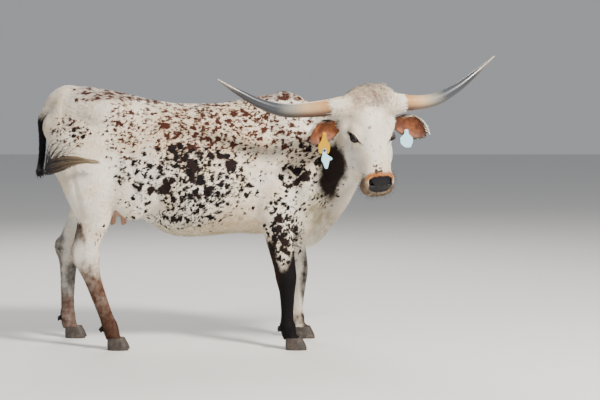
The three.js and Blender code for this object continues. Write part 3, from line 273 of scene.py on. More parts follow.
class Tube:
    """A tube of rounded sections along its stations, as a distance field."""

    def __init__(self, stations, height=(0, 0, 1), caps=(60, 60), power=2.0, join=40, steps=3, axis=None):
        rows = spline_rows(stations, np.arange((len(stations) - 1) * steps + 1) / steps)
        self.centres = rows[:, :3]
        self.width, self.high = rows[:, 3], rows[:, 4]
        self.lean = rows[:, 5] if rows.shape[1] > 5 else np.zeros(len(rows))
        k = np.arange(len(rows))
        ahead = self.centres[np.minimum(k + 1, k[-1])] - self.centres[np.maximum(k - 1, 0)]
        self.tangent = np.tile(np.array(axis, float), (len(rows), 1)) if axis else unit(ahead)
        self.across = unit(np.cross(self.tangent, np.array(height, float)))
        self.upward = np.cross(self.across, self.tangent)
        self.caps, self.power, self.join = caps, power, join
        reach = max(self.width.max(), self.high.max(), *caps) + 60
        self.low, self.top = self.centres.min(0) - reach, self.centres.max(0) + reach

    def locate(self, points):
        """Distance from the tube's surface, place along it from 0 to 1, and angle round it from the top."""
        ahead = points @ self.tangent.T - (self.centres * self.tangent).sum(1)
        last = len(self.centres) - 1
        nearest = np.full(len(points), np.inf)
        at = np.zeros(len(points), int)
        share = np.zeros(len(points))
        for k in range(last):
            rows = np.nonzero((ahead[:, k] >= 0) & (ahead[:, k + 1] < 0))[0]
            f = ahead[rows, k] / (ahead[rows, k] - ahead[rows, k + 1])
            centre = mix(self.centres[k], self.centres[k + 1], f[:, None])
            square = ((points[rows] - centre) ** 2).sum(1)
            closer = square < nearest[rows]
            rows = rows[closer]
            nearest[rows] = square[closer]
            at[rows] = k
            share[rows] = f[closer]
        beyond = np.isinf(nearest)
        before = beyond & (ahead[:, 0] < 0)
        after = beyond & ~before
        over = np.where(before, ahead[:, 0], np.where(after, ahead[:, -1], 0.0))
        at[after] = last - 1
        share[after] = 1

        def part(values):
            f = share[:, None] if values.ndim > 1 else share
            return mix(values[at], values[at + 1], f)

        offset = points - part(self.centres)
        across = (offset * part(self.across)).sum(1)
        upward = (offset * part(self.upward)).sum(1)
        high = part(self.high)
        wide = part(self.width) * (1 - part(self.lean) * np.clip(upward / high, -1, 1))
        size = np.sqrt(across**2 + upward**2 + over**2)
        flat = (np.abs(across / wide) ** self.power + np.abs(upward / high) ** self.power) ** (1 / self.power)
        ratio = np.hypot(flat, over / np.where(over < 0, self.caps[0], self.caps[1]))
        distance = size * (1 - 1 / np.maximum(ratio, 1e-6))
        return distance, (at + share) / last, np.arctan2(across / wide, upward / high)

    def distance(self, points):
        near = np.nonzero(((points > self.low) & (points < self.top)).all(1))[0]
        result = np.full(len(points), FAR)
        if len(near):
            result[near] = self.locate(points[near])[0]
        return result


def ellipsoid(form, points):
    offset = (points - form[:3]) / form[3:6]
    k = np.linalg.norm(offset, axis=1)
    slope = np.linalg.norm(offset / np.array(form[3:6]), axis=1)
    return np.where(slope < 1e-9, -min(form[3:6]), k * (k - 1) / np.maximum(slope, 1e-9))


def blend(a, b, k):
    h = np.maximum(k - np.abs(a - b), 0) / k
    return np.minimum(a, b) - h * h * k / 4


def mirrored(points):
    return np.column_stack([points[:, 0], np.abs(points[:, 1]), points[:, 2]])


# The flesh as one smooth field, the same one as in the solids
def leg_tube(joints, profile):
    places = spline_rows(joints, [row[0] for row in profile])
    sizes = np.array([(wide, deep, 0) for _, wide, deep in profile], float)
    return Tube(np.hstack([places, sizes]), height=(1, 0, 0), caps=(40, 30), join=46, steps=2)


torso_tube = Tube(TORSO, caps=(96, 62), power=2.25, join=1, axis=(1, 0, 0))
neck_tube = Tube(NECK, power=2.1, join=90, steps=5)
dewlap_tube = Tube(DEWLAP, caps=(30, 30), join=60)
leg_tubes = {}
for pair, all_joints, profile in (("hind", HIND_JOINTS, HIND_PROFILE), ("fore", FORE_JOINTS, FORE_PROFILE)):
    for which in SIDES:
        leg_tubes[f"{pair}_{which}"] = leg_tube(all_joints[which], profile)
BODY_TUBES = [torso_tube, neck_tube, dewlap_tube, *leg_tubes.values()]
scapula_tube = Tube(SCAPULA, height=(1, 0, 0), join=50)
skull_tube = Tube(SKULL, height=(0, 1, 0), caps=(26, 18), power=2.3, axis=(1, 0, 0))
horn_core_tube = Tube(HORN_CORE, height=(0, 1, 0), caps=(20, 9))

# Hock points and dewclaws hang on the joints of each leg
HOCK_POINTS, DEWCLAWS = [], []
for x, y, z in (joints[3] for joints in HIND_JOINTS.values()):
    HOCK_POINTS.append((x - 56, y, z + 14, 26, 20, 44, 26))
for x, y, z in (joints[-2] for joints in [*HIND_JOINTS.values(), *FORE_JOINTS.values()]):
    for apart in (-20, 20):
        DEWCLAWS.append((x - 42, y + apart, z - 14, 12, 11, 17, 5))


def body_field(points):
    d = np.full(len(points), FAR)
    for tube in BODY_TUBES:
        d = blend(d, tube.distance(points), tube.join)
    both = mirrored(points)
    d = blend(d, scapula_tube.distance(both), scapula_tube.join)
    for form in BODY_BUMPS:
        d = blend(d, ellipsoid(form, both), form[6])
    for form in HOCK_POINTS + DEWCLAWS:
        d = blend(d, ellipsoid(form, points), form[6])
    return -blend(-d, ellipsoid(FLANK_HOLLOW, both), FLANK_HOLLOW[6])


def head_field(points):
    a, n, l = on_face(points)
    near = np.nonzero((np.abs(l) < 300) & (a > -200) & (a < 560) & (n > -320) & (n < 200))[0]
    result = np.full(len(points), FAR)
    if not len(near):
        return result
    own = np.column_stack([a, n, l])[near]
    both = np.column_stack([a, n, np.abs(l)])[near]
    d = blend(skull_tube.distance(own), ellipsoid(POLL, own), POLL[6])
    d = blend(d, horn_core_tube.distance(both), 40)
    for form in HEAD_BUMPS:
        d = blend(d, ellipsoid(form, both), form[6])
    result[near] = d
    return result


def flesh(points):
    return blend(body_field(points), head_field(points), 46)


def clear_of(points, margin):
    """Points pushed out until they are clear of the flesh."""
    points = np.array(points, float)
    margin = np.broadcast_to(margin, len(points))
    for _ in range(8):
        d = flesh(points)
        steps = [flesh(points + 2 * axis) - d for axis in np.eye(3)]
        away = unit(np.column_stack(steps))
        points += away * np.maximum(margin - d, 0)[:, None]
    return points


tail_rows = np.array(TAIL, float)
tail_rows[2:, :3] = clear_of(tail_rows[2:, :3], tail_rows[2:, 3] + 9)
tail_tube = Tube(tail_rows, height=(0, 1, 0.3), caps=(30, 10), steps=4)
TAIL_JOIN_LOW, TAIL_JOIN_HIGH = 5, 60


def skin_field(points):
    """The flesh with its tail, drawn in by the depth of the coat."""
    soft = mix(TAIL_JOIN_LOW, TAIL_JOIN_HIGH, smooth(1150, 1270, points[:, 2]))
    return blend(flesh(points), tail_tube.distance(points), soft) + COAT_DEPTH


CHUNK = 60000


def in_chunks(field, points):
    return np.concatenate([field(points[k:k + CHUNK]) for k in range(0, len(points), CHUNK)])


# A four-sided net over a field's zero surface, refined where detail is wanted
BLOCK = 4


def net(field, low, high, cell):
    """Corners and faces of the surface, one corner in each crossed cell. Only blocks near it are reckoned."""
    low = np.array(low, float)
    blocks = np.ceil((np.array(high) - low) / cell / BLOCK).astype(int)
    coarse_at = [low[m] + (np.arange(blocks[m]) * BLOCK + (BLOCK - 1) / 2) * cell for m in range(3)]
    centres = np.stack(np.meshgrid(*coarse_at, indexing="ij"), -1).reshape(-1, 3)
    coarse = in_chunks(field, centres).reshape(blocks)
    values = coarse.repeat(BLOCK, 0).repeat(BLOCK, 1).repeat(BLOCK, 2)
    active = np.argwhere(np.abs(coarse) < cell * BLOCK * 1.3)
    offsets = np.stack(np.meshgrid(*[np.arange(BLOCK)] * 3, indexing="ij"), -1).reshape(-1, 3)
    fine = (active[:, None] * BLOCK + offsets).reshape(-1, 3)
    values[tuple(fine.T)] = in_chunks(field, low + fine * cell)
    inside = values < 0
    corners = [(c & 1, (c >> 1) & 1, c >> 2) for c in range(8)]
    ends = [n - 1 for n in values.shape]
    crossed = 0
    for corner in corners:
        crossed = crossed + inside[tuple(slice(q, q + n) for q, n in zip(corner, ends))].astype(np.int8)
    cells = np.argwhere((crossed > 0) & (crossed < 8))
    total = np.zeros((len(cells), 3))
    times = np.zeros(len(cells))
    for p in range(8):
        for bit in (1, 2, 4):
            if p & bit:
                continue
            a, b = np.array(corners[p]), np.array(corners[p | bit])
            va = values[tuple((cells + a).T)]
            vb = values[tuple((cells + b).T)]
            cut = (va < 0) != (vb < 0)
            f = (va / np.where(cut, va - vb, 1))[:, None]
            total += np.where(cut[:, None], mix(a, b, f), 0)
            times += cut
    points = low + (cells + total / times[:, None]) * cell
    index = np.full(crossed.shape, -1)
    index[tuple(cells.T)] = np.arange(len(cells))
    faces = []
    for m in range(3):
        u, w = (m + 1) % 3, (m + 2) % 3
        here = np.argwhere(np.diff(inside, axis=m))
        here = here[(here[:, u] > 0) & (here[:, w] > 0) & (here[:, u] < ends[u]) & (here[:, w] < ends[w])]
        back_u, back_w = np.eye(3, dtype=int)[u], np.eye(3, dtype=int)[w]
        ring = [here - back_u - back_w, here - back_w, here, here - back_u]
        quad = np.column_stack([index[tuple(q.T)] for q in ring])
        turned = ~inside[tuple(here.T)]
        quad[turned] = quad[turned, ::-1]
        faces.append(quad)
    return points, np.vstack(faces)


def settle(points, field, passes=2, limit=4.0):
    """Draws points onto the zero surface."""
    step = 0.5
    for _ in range(passes):
        d = in_chunks(field, points)
        slope = np.column_stack([in_chunks(field, points + step * axis) - d for axis in np.eye(3)]) / step
        move = np.clip(d / np.maximum((slope**2).sum(1), 0.25), -limit, limit)
        points = points - slope * move[:, None]
    return points


def refine(points, quads, chosen):
    """Splits the chosen four-sided faces in four. Their neighbours become faces of more sides."""
    inner = quads[chosen]
    outer = quads[~chosen]
    sides = np.sort(np.stack([inner, np.roll(inner, -1, 1)], -1), -1).reshape(-1, 2)
    keys, where = np.unique(sides[:, 0] * len(points) + sides[:, 1], return_inverse=True)
    mids = len(points) + where.reshape(-1, 4)
    middle = len(points) + len(keys) + np.arange(len(inner))
    pairs = np.column_stack([keys // len(points), keys % len(points)])
    grown = np.vstack([points, points[pairs].mean(1), points[inner].mean(1)])
    quarters = [np.column_stack([inner[:, k], mids[:, k], middle, mids[:, k - 1]]) for k in range(4)]
    other = np.sort(np.stack([outer, np.roll(outer, -1, 1)], -1), -1)
    other_keys = other[..., 0] * len(points) + other[..., 1]
    spot = np.clip(np.searchsorted(keys, other_keys), 0, len(keys) - 1)
    split = keys[spot] == other_keys
    touched = split.any(1)
    ngons = []
    for face, cut, mid in zip(outer[touched], split[touched], spot[touched]):
        ring = []
        for k in range(4):
            ring.append(int(face[k]))
            if cut[k]:
                ring.append(int(len(points) + mid[k]))
        ngons.append(ring)
    return grown, np.vstack([outer[~touched], *quarters]), ngons


BODY_CELL = 9.6
SKIN_LOW, SKIN_HIGH = (-880, -640, HOOF_HEIGHT - 14), (1140, 350, 1430)


def wants_detail(points):
    """The head, from behind the ears forward."""
    a, n, l = on_face(points)
    return (a > -130) & (a < 480) & (n > -205) & (n < 140) & (np.abs(l) < 215) & (flat_head(points) > 0)


def flat_head(points):
    return (points - from_face(60, -170, 0)) @ unit(np.array([0.62, -0.72, 0.3]))


FINE_ROUND_EYE = 46


def wants_fine_detail(points):
    """Round the eyes, and the muzzle."""
    a, n, _ = on_face(points)
    fine = (a > 362) & (n > -95)
    for centre in EYE_CENTRES.values():
        fine |= np.linalg.norm(points - centre, axis=1) < FINE_ROUND_EYE
    return fine


# The eyelids leave an almond open, with these half angles round the ball and this pointedness
EYE_OPEN_LONG = math.radians(66)
EYE_OPEN_HIGH = math.radians(35)
EYE_POINT = 1.55
EYE_REACH = 60
LID_THICKNESS = 4.0
EYE_AXES = {}
for which, sign in SIDES.items():
    gaze = unit(side * sign * 0.74 + out_of_face * 0.62 + down_face * 0.1)
    long = down_face * 0.7 - side * sign * 0.55 + out_of_face * 0.3
    long = unit(long - gaze * (long @ gaze))
    EYE_AXES[which] = (gaze, long, np.cross(gaze, long))


def eye_opening(turn):
    """The half angle of the opening in a direction round the gaze."""
    return ((np.abs(np.cos(turn)) / EYE_OPEN_LONG) ** EYE_POINT
            + (np.abs(np.sin(turn)) / EYE_OPEN_HIGH) ** EYE_POINT) ** (-1 / EYE_POINT)


def from_gaze(which, polar, turn):
    """Directions from the eye's centre: polar away from the gaze and turn round it."""
    gaze, long, high = EYE_AXES[which]
    return (gaze * np.cos(polar)[..., None] + long * (np.sin(polar) * np.cos(turn))[..., None]
            + high * (np.sin(polar) * np.sin(turn))[..., None])


def round_eye(points, which):
    """How far points are from the gaze as a share of the almond's opening, and their distance and direction
    from the eye's centre."""
    gaze, long, high = EYE_AXES[which]
    offset = points - EYE_CENTRES[which]
    reach = np.linalg.norm(offset, axis=1)
    towards = offset / np.maximum(reach, 1e-6)[:, None]
    off_gaze = np.arccos(np.clip(towards @ gaze, -1, 1))
    turn = np.arctan2(towards @ high, towards @ long)
    return off_gaze / eye_opening(turn), off_gaze, turn, reach, towards


def sculpt_eye(points, which):
    """Lids that stand a little off the ball, with a fold above them, and a pocket where the eye shows."""
    near = np.nonzero(np.linalg.norm(points - EYE_CENTRES[which], axis=1) < EYE_REACH)[0]
    share, off_gaze, turn, reach, towards = round_eye(points[near], which)
    seen = smooth(math.radians(118), math.radians(96), off_gaze)
    lid = smooth(1.75, 1.2, share) * seen
    reach = mix(reach, np.maximum(reach, EYE_RADIUS + LID_THICKNESS), lid)
    fold = np.exp(-((share - 1.75) / 0.16) ** 2) * seen * mix(1.0, 2.6, smooth(0.2, -0.8, np.sin(turn)))
    reach = reach - fold
    reach = mix(EYE_RADIUS - 3.0, reach, smooth(0.95, 1.07, share) * seen + 1 - seen)
    points[near] = EYE_CENTRES[which] + towards * reach[:, None]


NOSTRIL_AT = (404, 4, 50)
NOSTRIL_LONG, NOSTRIL_WIDE, NOSTRIL_DEPTH = 21.0, 10.5, 19.0
NOSTRIL_REACH = 30
# The pad of the nose: the place of its middle, measured along the face less out of it, and half its size
PAD_MIDDLE = 416
PAD_WIDE, PAD_HIGH = 62, 66
DOME_WIDE, DOME_HIGH, DOME_RISE = 60, 62, 5.0


def nostril_axes(sign):
    outwards = unit(down_face * 0.55 + out_of_face * 0.7 + side * sign * 0.3)
    long = down_face * 0.62 - out_of_face * 0.5 - side * sign * 0.55
    long = unit(long - outwards * (long @ outwards))
    return outwards, long, np.cross(outwards, long)


def round_nostril(points, sign):
    """Places round a nostril, as a share of its opening. It is drawn out into a comma."""
    outwards, long, wide = nostril_axes(sign)
    a, n, l = NOSTRIL_AT
    offset = points - from_face(a, n, sign * l)
    along, across = offset @ long, offset @ wide * sign
    across = across + 0.018 * along**2 - 2
    return np.hypot(along / NOSTRIL_LONG, across / NOSTRIL_WIDE), offset @ outwards


def mouth_level(a):
    return -70 - 0.1 * (a - 345)


def sculpt_muzzle(points):
    """Nostrils, the line of the mouth, the groove under the nose, the lower lip and the domed pad."""
    a, n, l = on_face(points)
    for sign in SIDES.values():
        outwards = nostril_axes(sign)[0]
        share, height = round_nostril(points, sign)
        close = (np.abs(height) < NOSTRIL_REACH) & (share < 3)
        hole = np.where(close, smooth(1.05, 0.45, share), 0)
        rim = np.where(close, np.exp(-((share - 1.4) / 0.3) ** 2), 0)
        points += outwards * (rim * 2.6 - hole * NOSTRIL_DEPTH)[:, None]
    middle = from_face(a, np.minimum(n, -40.0), np.zeros(len(l)))
    inward = unit(middle - points)
    mouth = np.exp(-((n - mouth_level(a)) / 2.6) ** 2) * smooth(318, 352, a)
    lower = smooth(0, -10, n - mouth_level(a)) * smooth(340, 380, a)
    philtrum = np.exp(-(l / 2.4) ** 2) * smooth(392, 402, a) * smooth(-62, -50, n)
    points += inward * (mouth * 5.0 + lower * 3.5 + philtrum * 2.0)[:, None]
    from_middle = np.hypot(np.abs(l) / DOME_WIDE, (a - n - PAD_MIDDLE) / DOME_HIGH)
    dome = DOME_RISE * smooth(1.05, 0.2, from_middle) * smooth(-20, 20, flat_head(points)) * (a > 340)
    points += unit(down_face + out_of_face * 0.7) * dome[:, None]


def skin_surface():
    points, quads = net(skin_field, SKIN_LOW, SKIN_HIGH, BODY_CELL)
    points = settle(points, skin_field)
    ngons = []
    for wanted in (wants_detail, wants_fine_detail):
        points, quads, more = refine(points, quads, wanted(points[quads].mean(1)))
        ngons += more
        points = settle(points, skin_field, 1)
    for which in SIDES:
        sculpt_eye(points, which)
    a, n, l = on_face(points)
    muzzle = np.nonzero((a > 300) & (a < 480) & (np.abs(l) < 120) & (n > -140))[0]
    shaped = points[muzzle]
    sculpt_muzzle(shaped)
    points[muzzle] = shaped
    return points, quads, ngons


# Meshes
def new_mesh(name, points, faces, smooth_shading=True):
    mesh = bpy.data.meshes.new(name)
    mesh.from_pydata(placed(points).tolist(), [], faces)
    mesh.update()
    if smooth_shading:
        mesh.shade_smooth()
    thing = bpy.data.objects.new(name, mesh)
    bpy.context.scene.collection.objects.link(thing)
    return thing


def finished(thing, slot, material, *replaced):
    """Puts a piece on the body, with its material and the nodes it stands for. The slot is not used."""
    thing.data.materials.clear()
    thing.data.materials.append(material)
    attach(thing, "root")
    if replaced:
        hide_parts(*replaced)
    return thing


def band(r, sides):
    """Faces between ring r and the next one, where all rings have the same number of corners."""
    here, after = r * sides, (r + 1) * sides
    turns = [(i, (i + 1) % sides) for i in range(sides)]
    return [(here + i, here + j, after + j, after + i) for i, j in turns]


def loft(rings):
    """Points and faces through rings of equally many points, ended by a fan at each end."""
    rings = np.asarray(rings, float)
    count, sides = rings.shape[:2]
    points = np.vstack([rings.reshape(-1, 3), rings[0].mean(0), rings[-1].mean(0)])
    faces = [face for r in range(count - 1) for face in band(r, sides)]
    first, last = count * sides, (count - 1) * sides
    for i in range(sides):
        j = (i + 1) % sides
        faces += [(first, j, i), (first + 1, last + i, last + j)]
    return points, faces


def outward(thing):
    """Turns all faces of a closed mesh outwards."""
    bm = bmesh.new()
    bm.from_mesh(thing.data)
    bmesh.ops.recalc_face_normals(bm, faces=bm.faces)
    bm.to_mesh(thing.data)
    bm.free()
    return thing


def rings_across(path, places, reference, wide, high, sides):
    """Rings across a path. wide and high hold one number for each place."""
    centre, tangent = path.at(places), path.along(places)
    across = unit(np.cross(tangent, reference))
    upward = np.cross(across, tangent)
    turn = np.linspace(0, 2 * np.pi, sides, endpoint=False)
    x = np.cos(turn)[None, :, None] * np.asarray(wide, float)[:, None, None]
    y = np.sin(turn)[None, :, None] * np.asarray(high, float)[:, None, None]
    return centre[:, None] + across[:, None] * x + upward[:, None] * y


def taper_at(rows, t):
    return np.interp(t, [row[0] for row in rows], [row[1] for row in rows])


# Materials
class Shade:
    """A socket that reckons with numbers and other sockets by adding Math nodes."""

    def __init__(self, finish, socket):
        self.finish, self.socket = finish, socket

    def math(self, operation, *values):
        return self.finish.node("ShaderNodeMath", {"operation": operation}, dict(enumerate(values)))

    def __add__(self, other):
        return self.math("ADD", self, other)

    __radd__ = __add__

    def __sub__(self, other):
        return self.math("SUBTRACT", self, other)

    def __rsub__(self, other):
        return self.math("SUBTRACT", other, self)

    def __mul__(self, other):
        return self.math("MULTIPLY", self, other)

    __rmul__ = __mul__

    def step(self, low, high):
        """A soft step from 0 at low to 1 at high."""
        return self.finish.node("ShaderNodeMapRange", {"interpolation_type": "SMOOTHSTEP"},
                                {"Value": self, "From Min": low, "From Max": high})


class Finish:
    """A material in the making."""

    def __init__(self, name):
        self.material = bpy.data.materials.new(name)
        self.material.use_nodes = True
        self.tree = self.material.node_tree
        self.shader = self.tree.nodes["Principled BSDF"]

    def node(self, kind, settings=None, inputs=None, output=0):
        """Adds a node, its settings first, then values or links for its sockets, and gives one output."""
        made = self.tree.nodes.new(kind)
        for key, value in (settings or {}).items():
            if key == "stops":
                self.set_stops(made.color_ramp, value)
            else:
                setattr(made, key, value)
        for key, value in (inputs or {}).items():
            self.feed(made.inputs[key], value)
        return Shade(self, made.outputs[output])

    def feed(self, socket, value):
        if isinstance(value, Shade):
            self.tree.links.new(value.socket, socket)
        else:
            socket.default_value = value

    @staticmethod
    def set_stops(ramp, stops):
        while len(ramp.elements) > 1:
            ramp.elements.remove(ramp.elements[-1])
        for k, (place, colour) in enumerate(stops):
            element = ramp.elements[0] if k == 0 else ramp.elements.new(place)
            element.position = place
            element.color = (*colour, 1)

    def attribute(self, name, output="Fac"):
        return self.node("ShaderNodeAttribute", {"attribute_name": name}, output=output)

    def place(self):
        return self.node("ShaderNodeTexCoord", output="Object")

    def parts(self, vector):
        """The three parts of a colour or vector as numbers."""
        made = self.node("ShaderNodeSeparateColor", {}, {0: vector}).socket.node
        return [Shade(self, made.outputs[k]) for k in range(3)]

    def noise(self, vector, scale, detail=3.0, rough=0.5, output="Fac"):
        sockets = {"Vector": vector, "Scale": scale, "Detail": detail, "Roughness": rough}
        return self.node("ShaderNodeTexNoise", {}, sockets, output)

    def cells(self, vector, scale):
        """Distance to the nearest cell's middle, and three numbers that are the cell's own."""
        spot = self.node("ShaderNodeTexVoronoi", {}, {"Vector": vector, "Scale": scale})
        return spot, self.parts(Shade(self, spot.socket.node.outputs["Color"]))

    def mix(self, share, a, b):
        """Colour a where share is 0 and b where it is 1."""
        a, b = ((*c, 1) if isinstance(c, tuple) and len(c) == 3 else c for c in (a, b))
        return self.node("ShaderNodeMix", {"data_type": "RGBA"}, {0: share, 6: a, 7: b}, output=2)

    def ramp(self, value, stops):
        return self.node("ShaderNodeValToRGB", {"stops": stops}, {0: value})

    def bump(self, height, strength, distance):
        inputs = {"Height": height, "Strength": strength, "Distance": distance}
        return self.node("ShaderNodeBump", {}, inputs)

    def shifted(self, vector, x, y):
        return self.node("ShaderNodeVectorMath", {"operation": "ADD"}, {0: vector, 1: (x, y, 0.0)})

    def ragged(self, vector, scale, amount):
        """A place moved about by noise, which makes an outline ragged."""
        noise = self.noise(vector, scale, 3.0, 0.6, "Color")
        return self.node("ShaderNodeMix", {"data_type": "VECTOR"}, {0: amount, 4: vector, 5: noise}, output=1)

    def done(self, **sockets):
        """Sets the shader's sockets, named with underscores for spaces, and gives the material."""
        for key, value in sockets.items():
            value = (*value, 1) if isinstance(value, tuple) and len(value) == 3 else value
            self.feed(self.shader.inputs[key.replace("_", " ")], value)
        return self.material


WHITE_HAIR = (0.85, 0.78, 0.67)
CREAM_HAIR = (0.7, 0.5, 0.29)
BLACK_HAIR = (0.007, 0.005, 0.006)
BLACK_BROWN_HAIR = (0.016, 0.008, 0.007)
RED_HAIR = (0.062, 0.018, 0.011)


def flecks(finish, root, density, scale, seed):
    """Irregular spots: in each cell of the pattern one is there where its own number is below the density."""
    bent = finish.ragged(finish.shifted(root, seed, seed * 1.7), scale * 1.3, 1.1 / scale)
    spot, (own, size, _) = finish.cells(bent, scale)
    radius = size * 0.34 + 0.24
    return (density - own).step(-0.02, 0.03) * (radius - spot).step(-0.05, 0.07)


def coat_material():
    """Hair that is white or cream, with flecks where the marks say and solid colour where the paint says."""
    finish = Finish("coat")
    root = finish.attribute("root", "Vector")
    black, red, small = finish.parts(finish.attribute("marks", "Color"))
    paint = finish.attribute("paint", "Color")
    cover = Shade(finish, paint.socket.node.outputs["Alpha"])
    bare = finish.attribute("bare")
    tint = finish.attribute("tint")
    height = finish.parts(root)[2]
    hair = finish.mix(finish.noise(root, 6.0, 4.0, 0.6).step(0.4, 0.7) * 0.6, WHITE_HAIR, CREAM_HAIR)
    mottle = (finish.noise(root, 34.0, 5.0, 0.7) - 0.5) * 9.0
    hair = finish.mix(cover + mottle * cover * (1 - cover), hair, paint)
    uneven = height + (finish.noise(root, 9.0) - 0.5) * 0.3
    dark_or_red = finish.mix(uneven.step(0.92, 1.02), BLACK_HAIR, RED_HAIR)
    for density, scale, seed, colour in (
        (small, 47.0, 5.3, dark_or_red),
        (small, 74.0, 7.9, dark_or_red),
        (red, 21.0, 2.2, RED_HAIR),
        (red, 37.0, 3.1, RED_HAIR),
        (black, 18.0, 4.4, BLACK_BROWN_HAIR),
        (black, 27.0, 1.3, BLACK_HAIR),
        (black, 40.0, 6.1, BLACK_BROWN_HAIR),
    ):
        hair = finish.mix(flecks(finish, root, density, scale, seed), hair, colour)
    light = finish.node("ShaderNodeHueSaturation", {}, {"Value": tint * 0.4 + 0.8, "Color": hair})
    pebbles = finish.cells(root, 420.0)[0] * bare
    streak = finish.noise(root, 300.0, 2.0, 0.6)
    return finish.done(Base_Color=light, Roughness=0.8 - bare * 0.5, Coat_Weight=bare * 0.1,
                       Specular_IOR_Level=0.16, Coat_Roughness=0.2,
                       Normal=finish.bump(streak * 0.5 + pebbles, 0.35, 0.0015))


def zone(x, z, x_at, z_at, x_reach, z_reach):
    """1 in the middle of a zone on the flank, falling off to 0 at its edge."""
    return smooth(1.15, 0.35, np.hypot((x - x_at) / x_reach, (z - z_at) / z_reach))


# Zones of marks on the flanks: middle x, z, reach in x, z, how thick the marks lie
BLACK_ZONES = [
    (-15, 875, 310, 215, 0.8), (-60, 1000, 200, 72, 1.0), (-20, 900, 150, 110, 0.95),
    (90, 845, 130, 110, 0.9), (195, 840, 90, 130, 0.85), (-300, 920, 110, 130, 0.45),
    (500, 900, 115, 90, 0.95), (640, 1015, 90, 90, 0.6), (-75, 700, 150, 60, 0.35),
    (445, 590, 105, 175, 0.75), (-640, 1120, 110, 90, 0.2), (420, 760, 70, 60, 0.4),
    (560, 1030, 110, 90, 0.35),
]
RED_ZONES = [
    (-5, 1064, 85, 52, 1.0), (80, 1100, 90, 45, 0.95), (88, 1215, 130, 45, 0.85),
    (442, 1100, 70, 95, 0.95),
    (300, 1170, 110, 110, 0.6), (-383, 1225, 60, 80, 0.6), (60, 1140, 420, 150, 0.3),
    (560, 1150, 130, 100, 0.35), (-40, 1140, 160, 60, 0.5),
]
SMALL_ZONES = [
    (-15, 880, 400, 260, 0.5), (100, 1150, 560, 200, 0.8), (-370, 1120, 120, 200, 0.75),
    (-645, 1120, 125, 100, 0.6), (-90, 680, 240, 70, 0.75), (445, 590, 110, 185, 0.95),
    (-470, 560, 70, 110, 0.3), (560, 1000, 190, 220, 0.45), (-330, 820, 130, 190, 0.25),
    (470, 760, 150, 130, 0.3), (640, 900, 130, 200, 0.45),
]
BROWN_LEG = (0.04, 0.014, 0.008)
BLACK_LEG = (0.006, 0.004, 0.005)
RED_LEG = (0.085, 0.03, 0.014)
PATCH_BROWN = (0.014, 0.008, 0.006)
# Olive laid on as painted shade, under the belly and on the brisket
PAINTED_SHADE_OLIVE = (0.36, 0.28, 0.13)
TAN = (0.36, 0.13, 0.028)
# Olive brown of the lips and chin, darkened as painted shade under the muzzle
LIP_BROWN_AND_SHADE = (0.11, 0.07, 0.035)
PAD_BLACK = (0.008, 0.007, 0.009)
POLL_BROWN = (0.2, 0.11, 0.085)
# Grey laid on as painted shade, on the far hind leg and the cheeks
PAINTED_SHADE_GREY = (0.4, 0.42, 0.44)


def marks_of(points):
    """How thick black, red and small flecks lie."""
    x, y, z = points.T
    layers = []
    for zones in (BLACK_ZONES, RED_ZONES, SMALL_ZONES):
        layers.append(np.max([zone(x, z, *row[:4]) * row[4] for row in zones], axis=0))
    topline = smooth(1235, 1285, z) * smooth(-700, -600, x) * smooth(640, 500, x) * (np.abs(y) < 190)
    layers[1] = np.maximum(layers[1], topline * mix(0.85, 0.45, smooth(-400, -520, x)))
    a, n, l = on_face(points)
    on_head = (a > -110) & (flat_head(points) > 0)
    bridge = smooth(40, 14, np.abs(l - 2)) * (0.22 * smooth(190, 300, a) + 0.8 * smooth(312, 336, a))
    layers[0] = np.where(on_head, 0, layers[0])
    layers[1] = np.where(on_head, 0, layers[1])
    layers[2] = np.where(on_head, 0.01 + bridge * (n > 0) * smooth(368, 356, a), layers[2])
    return layers


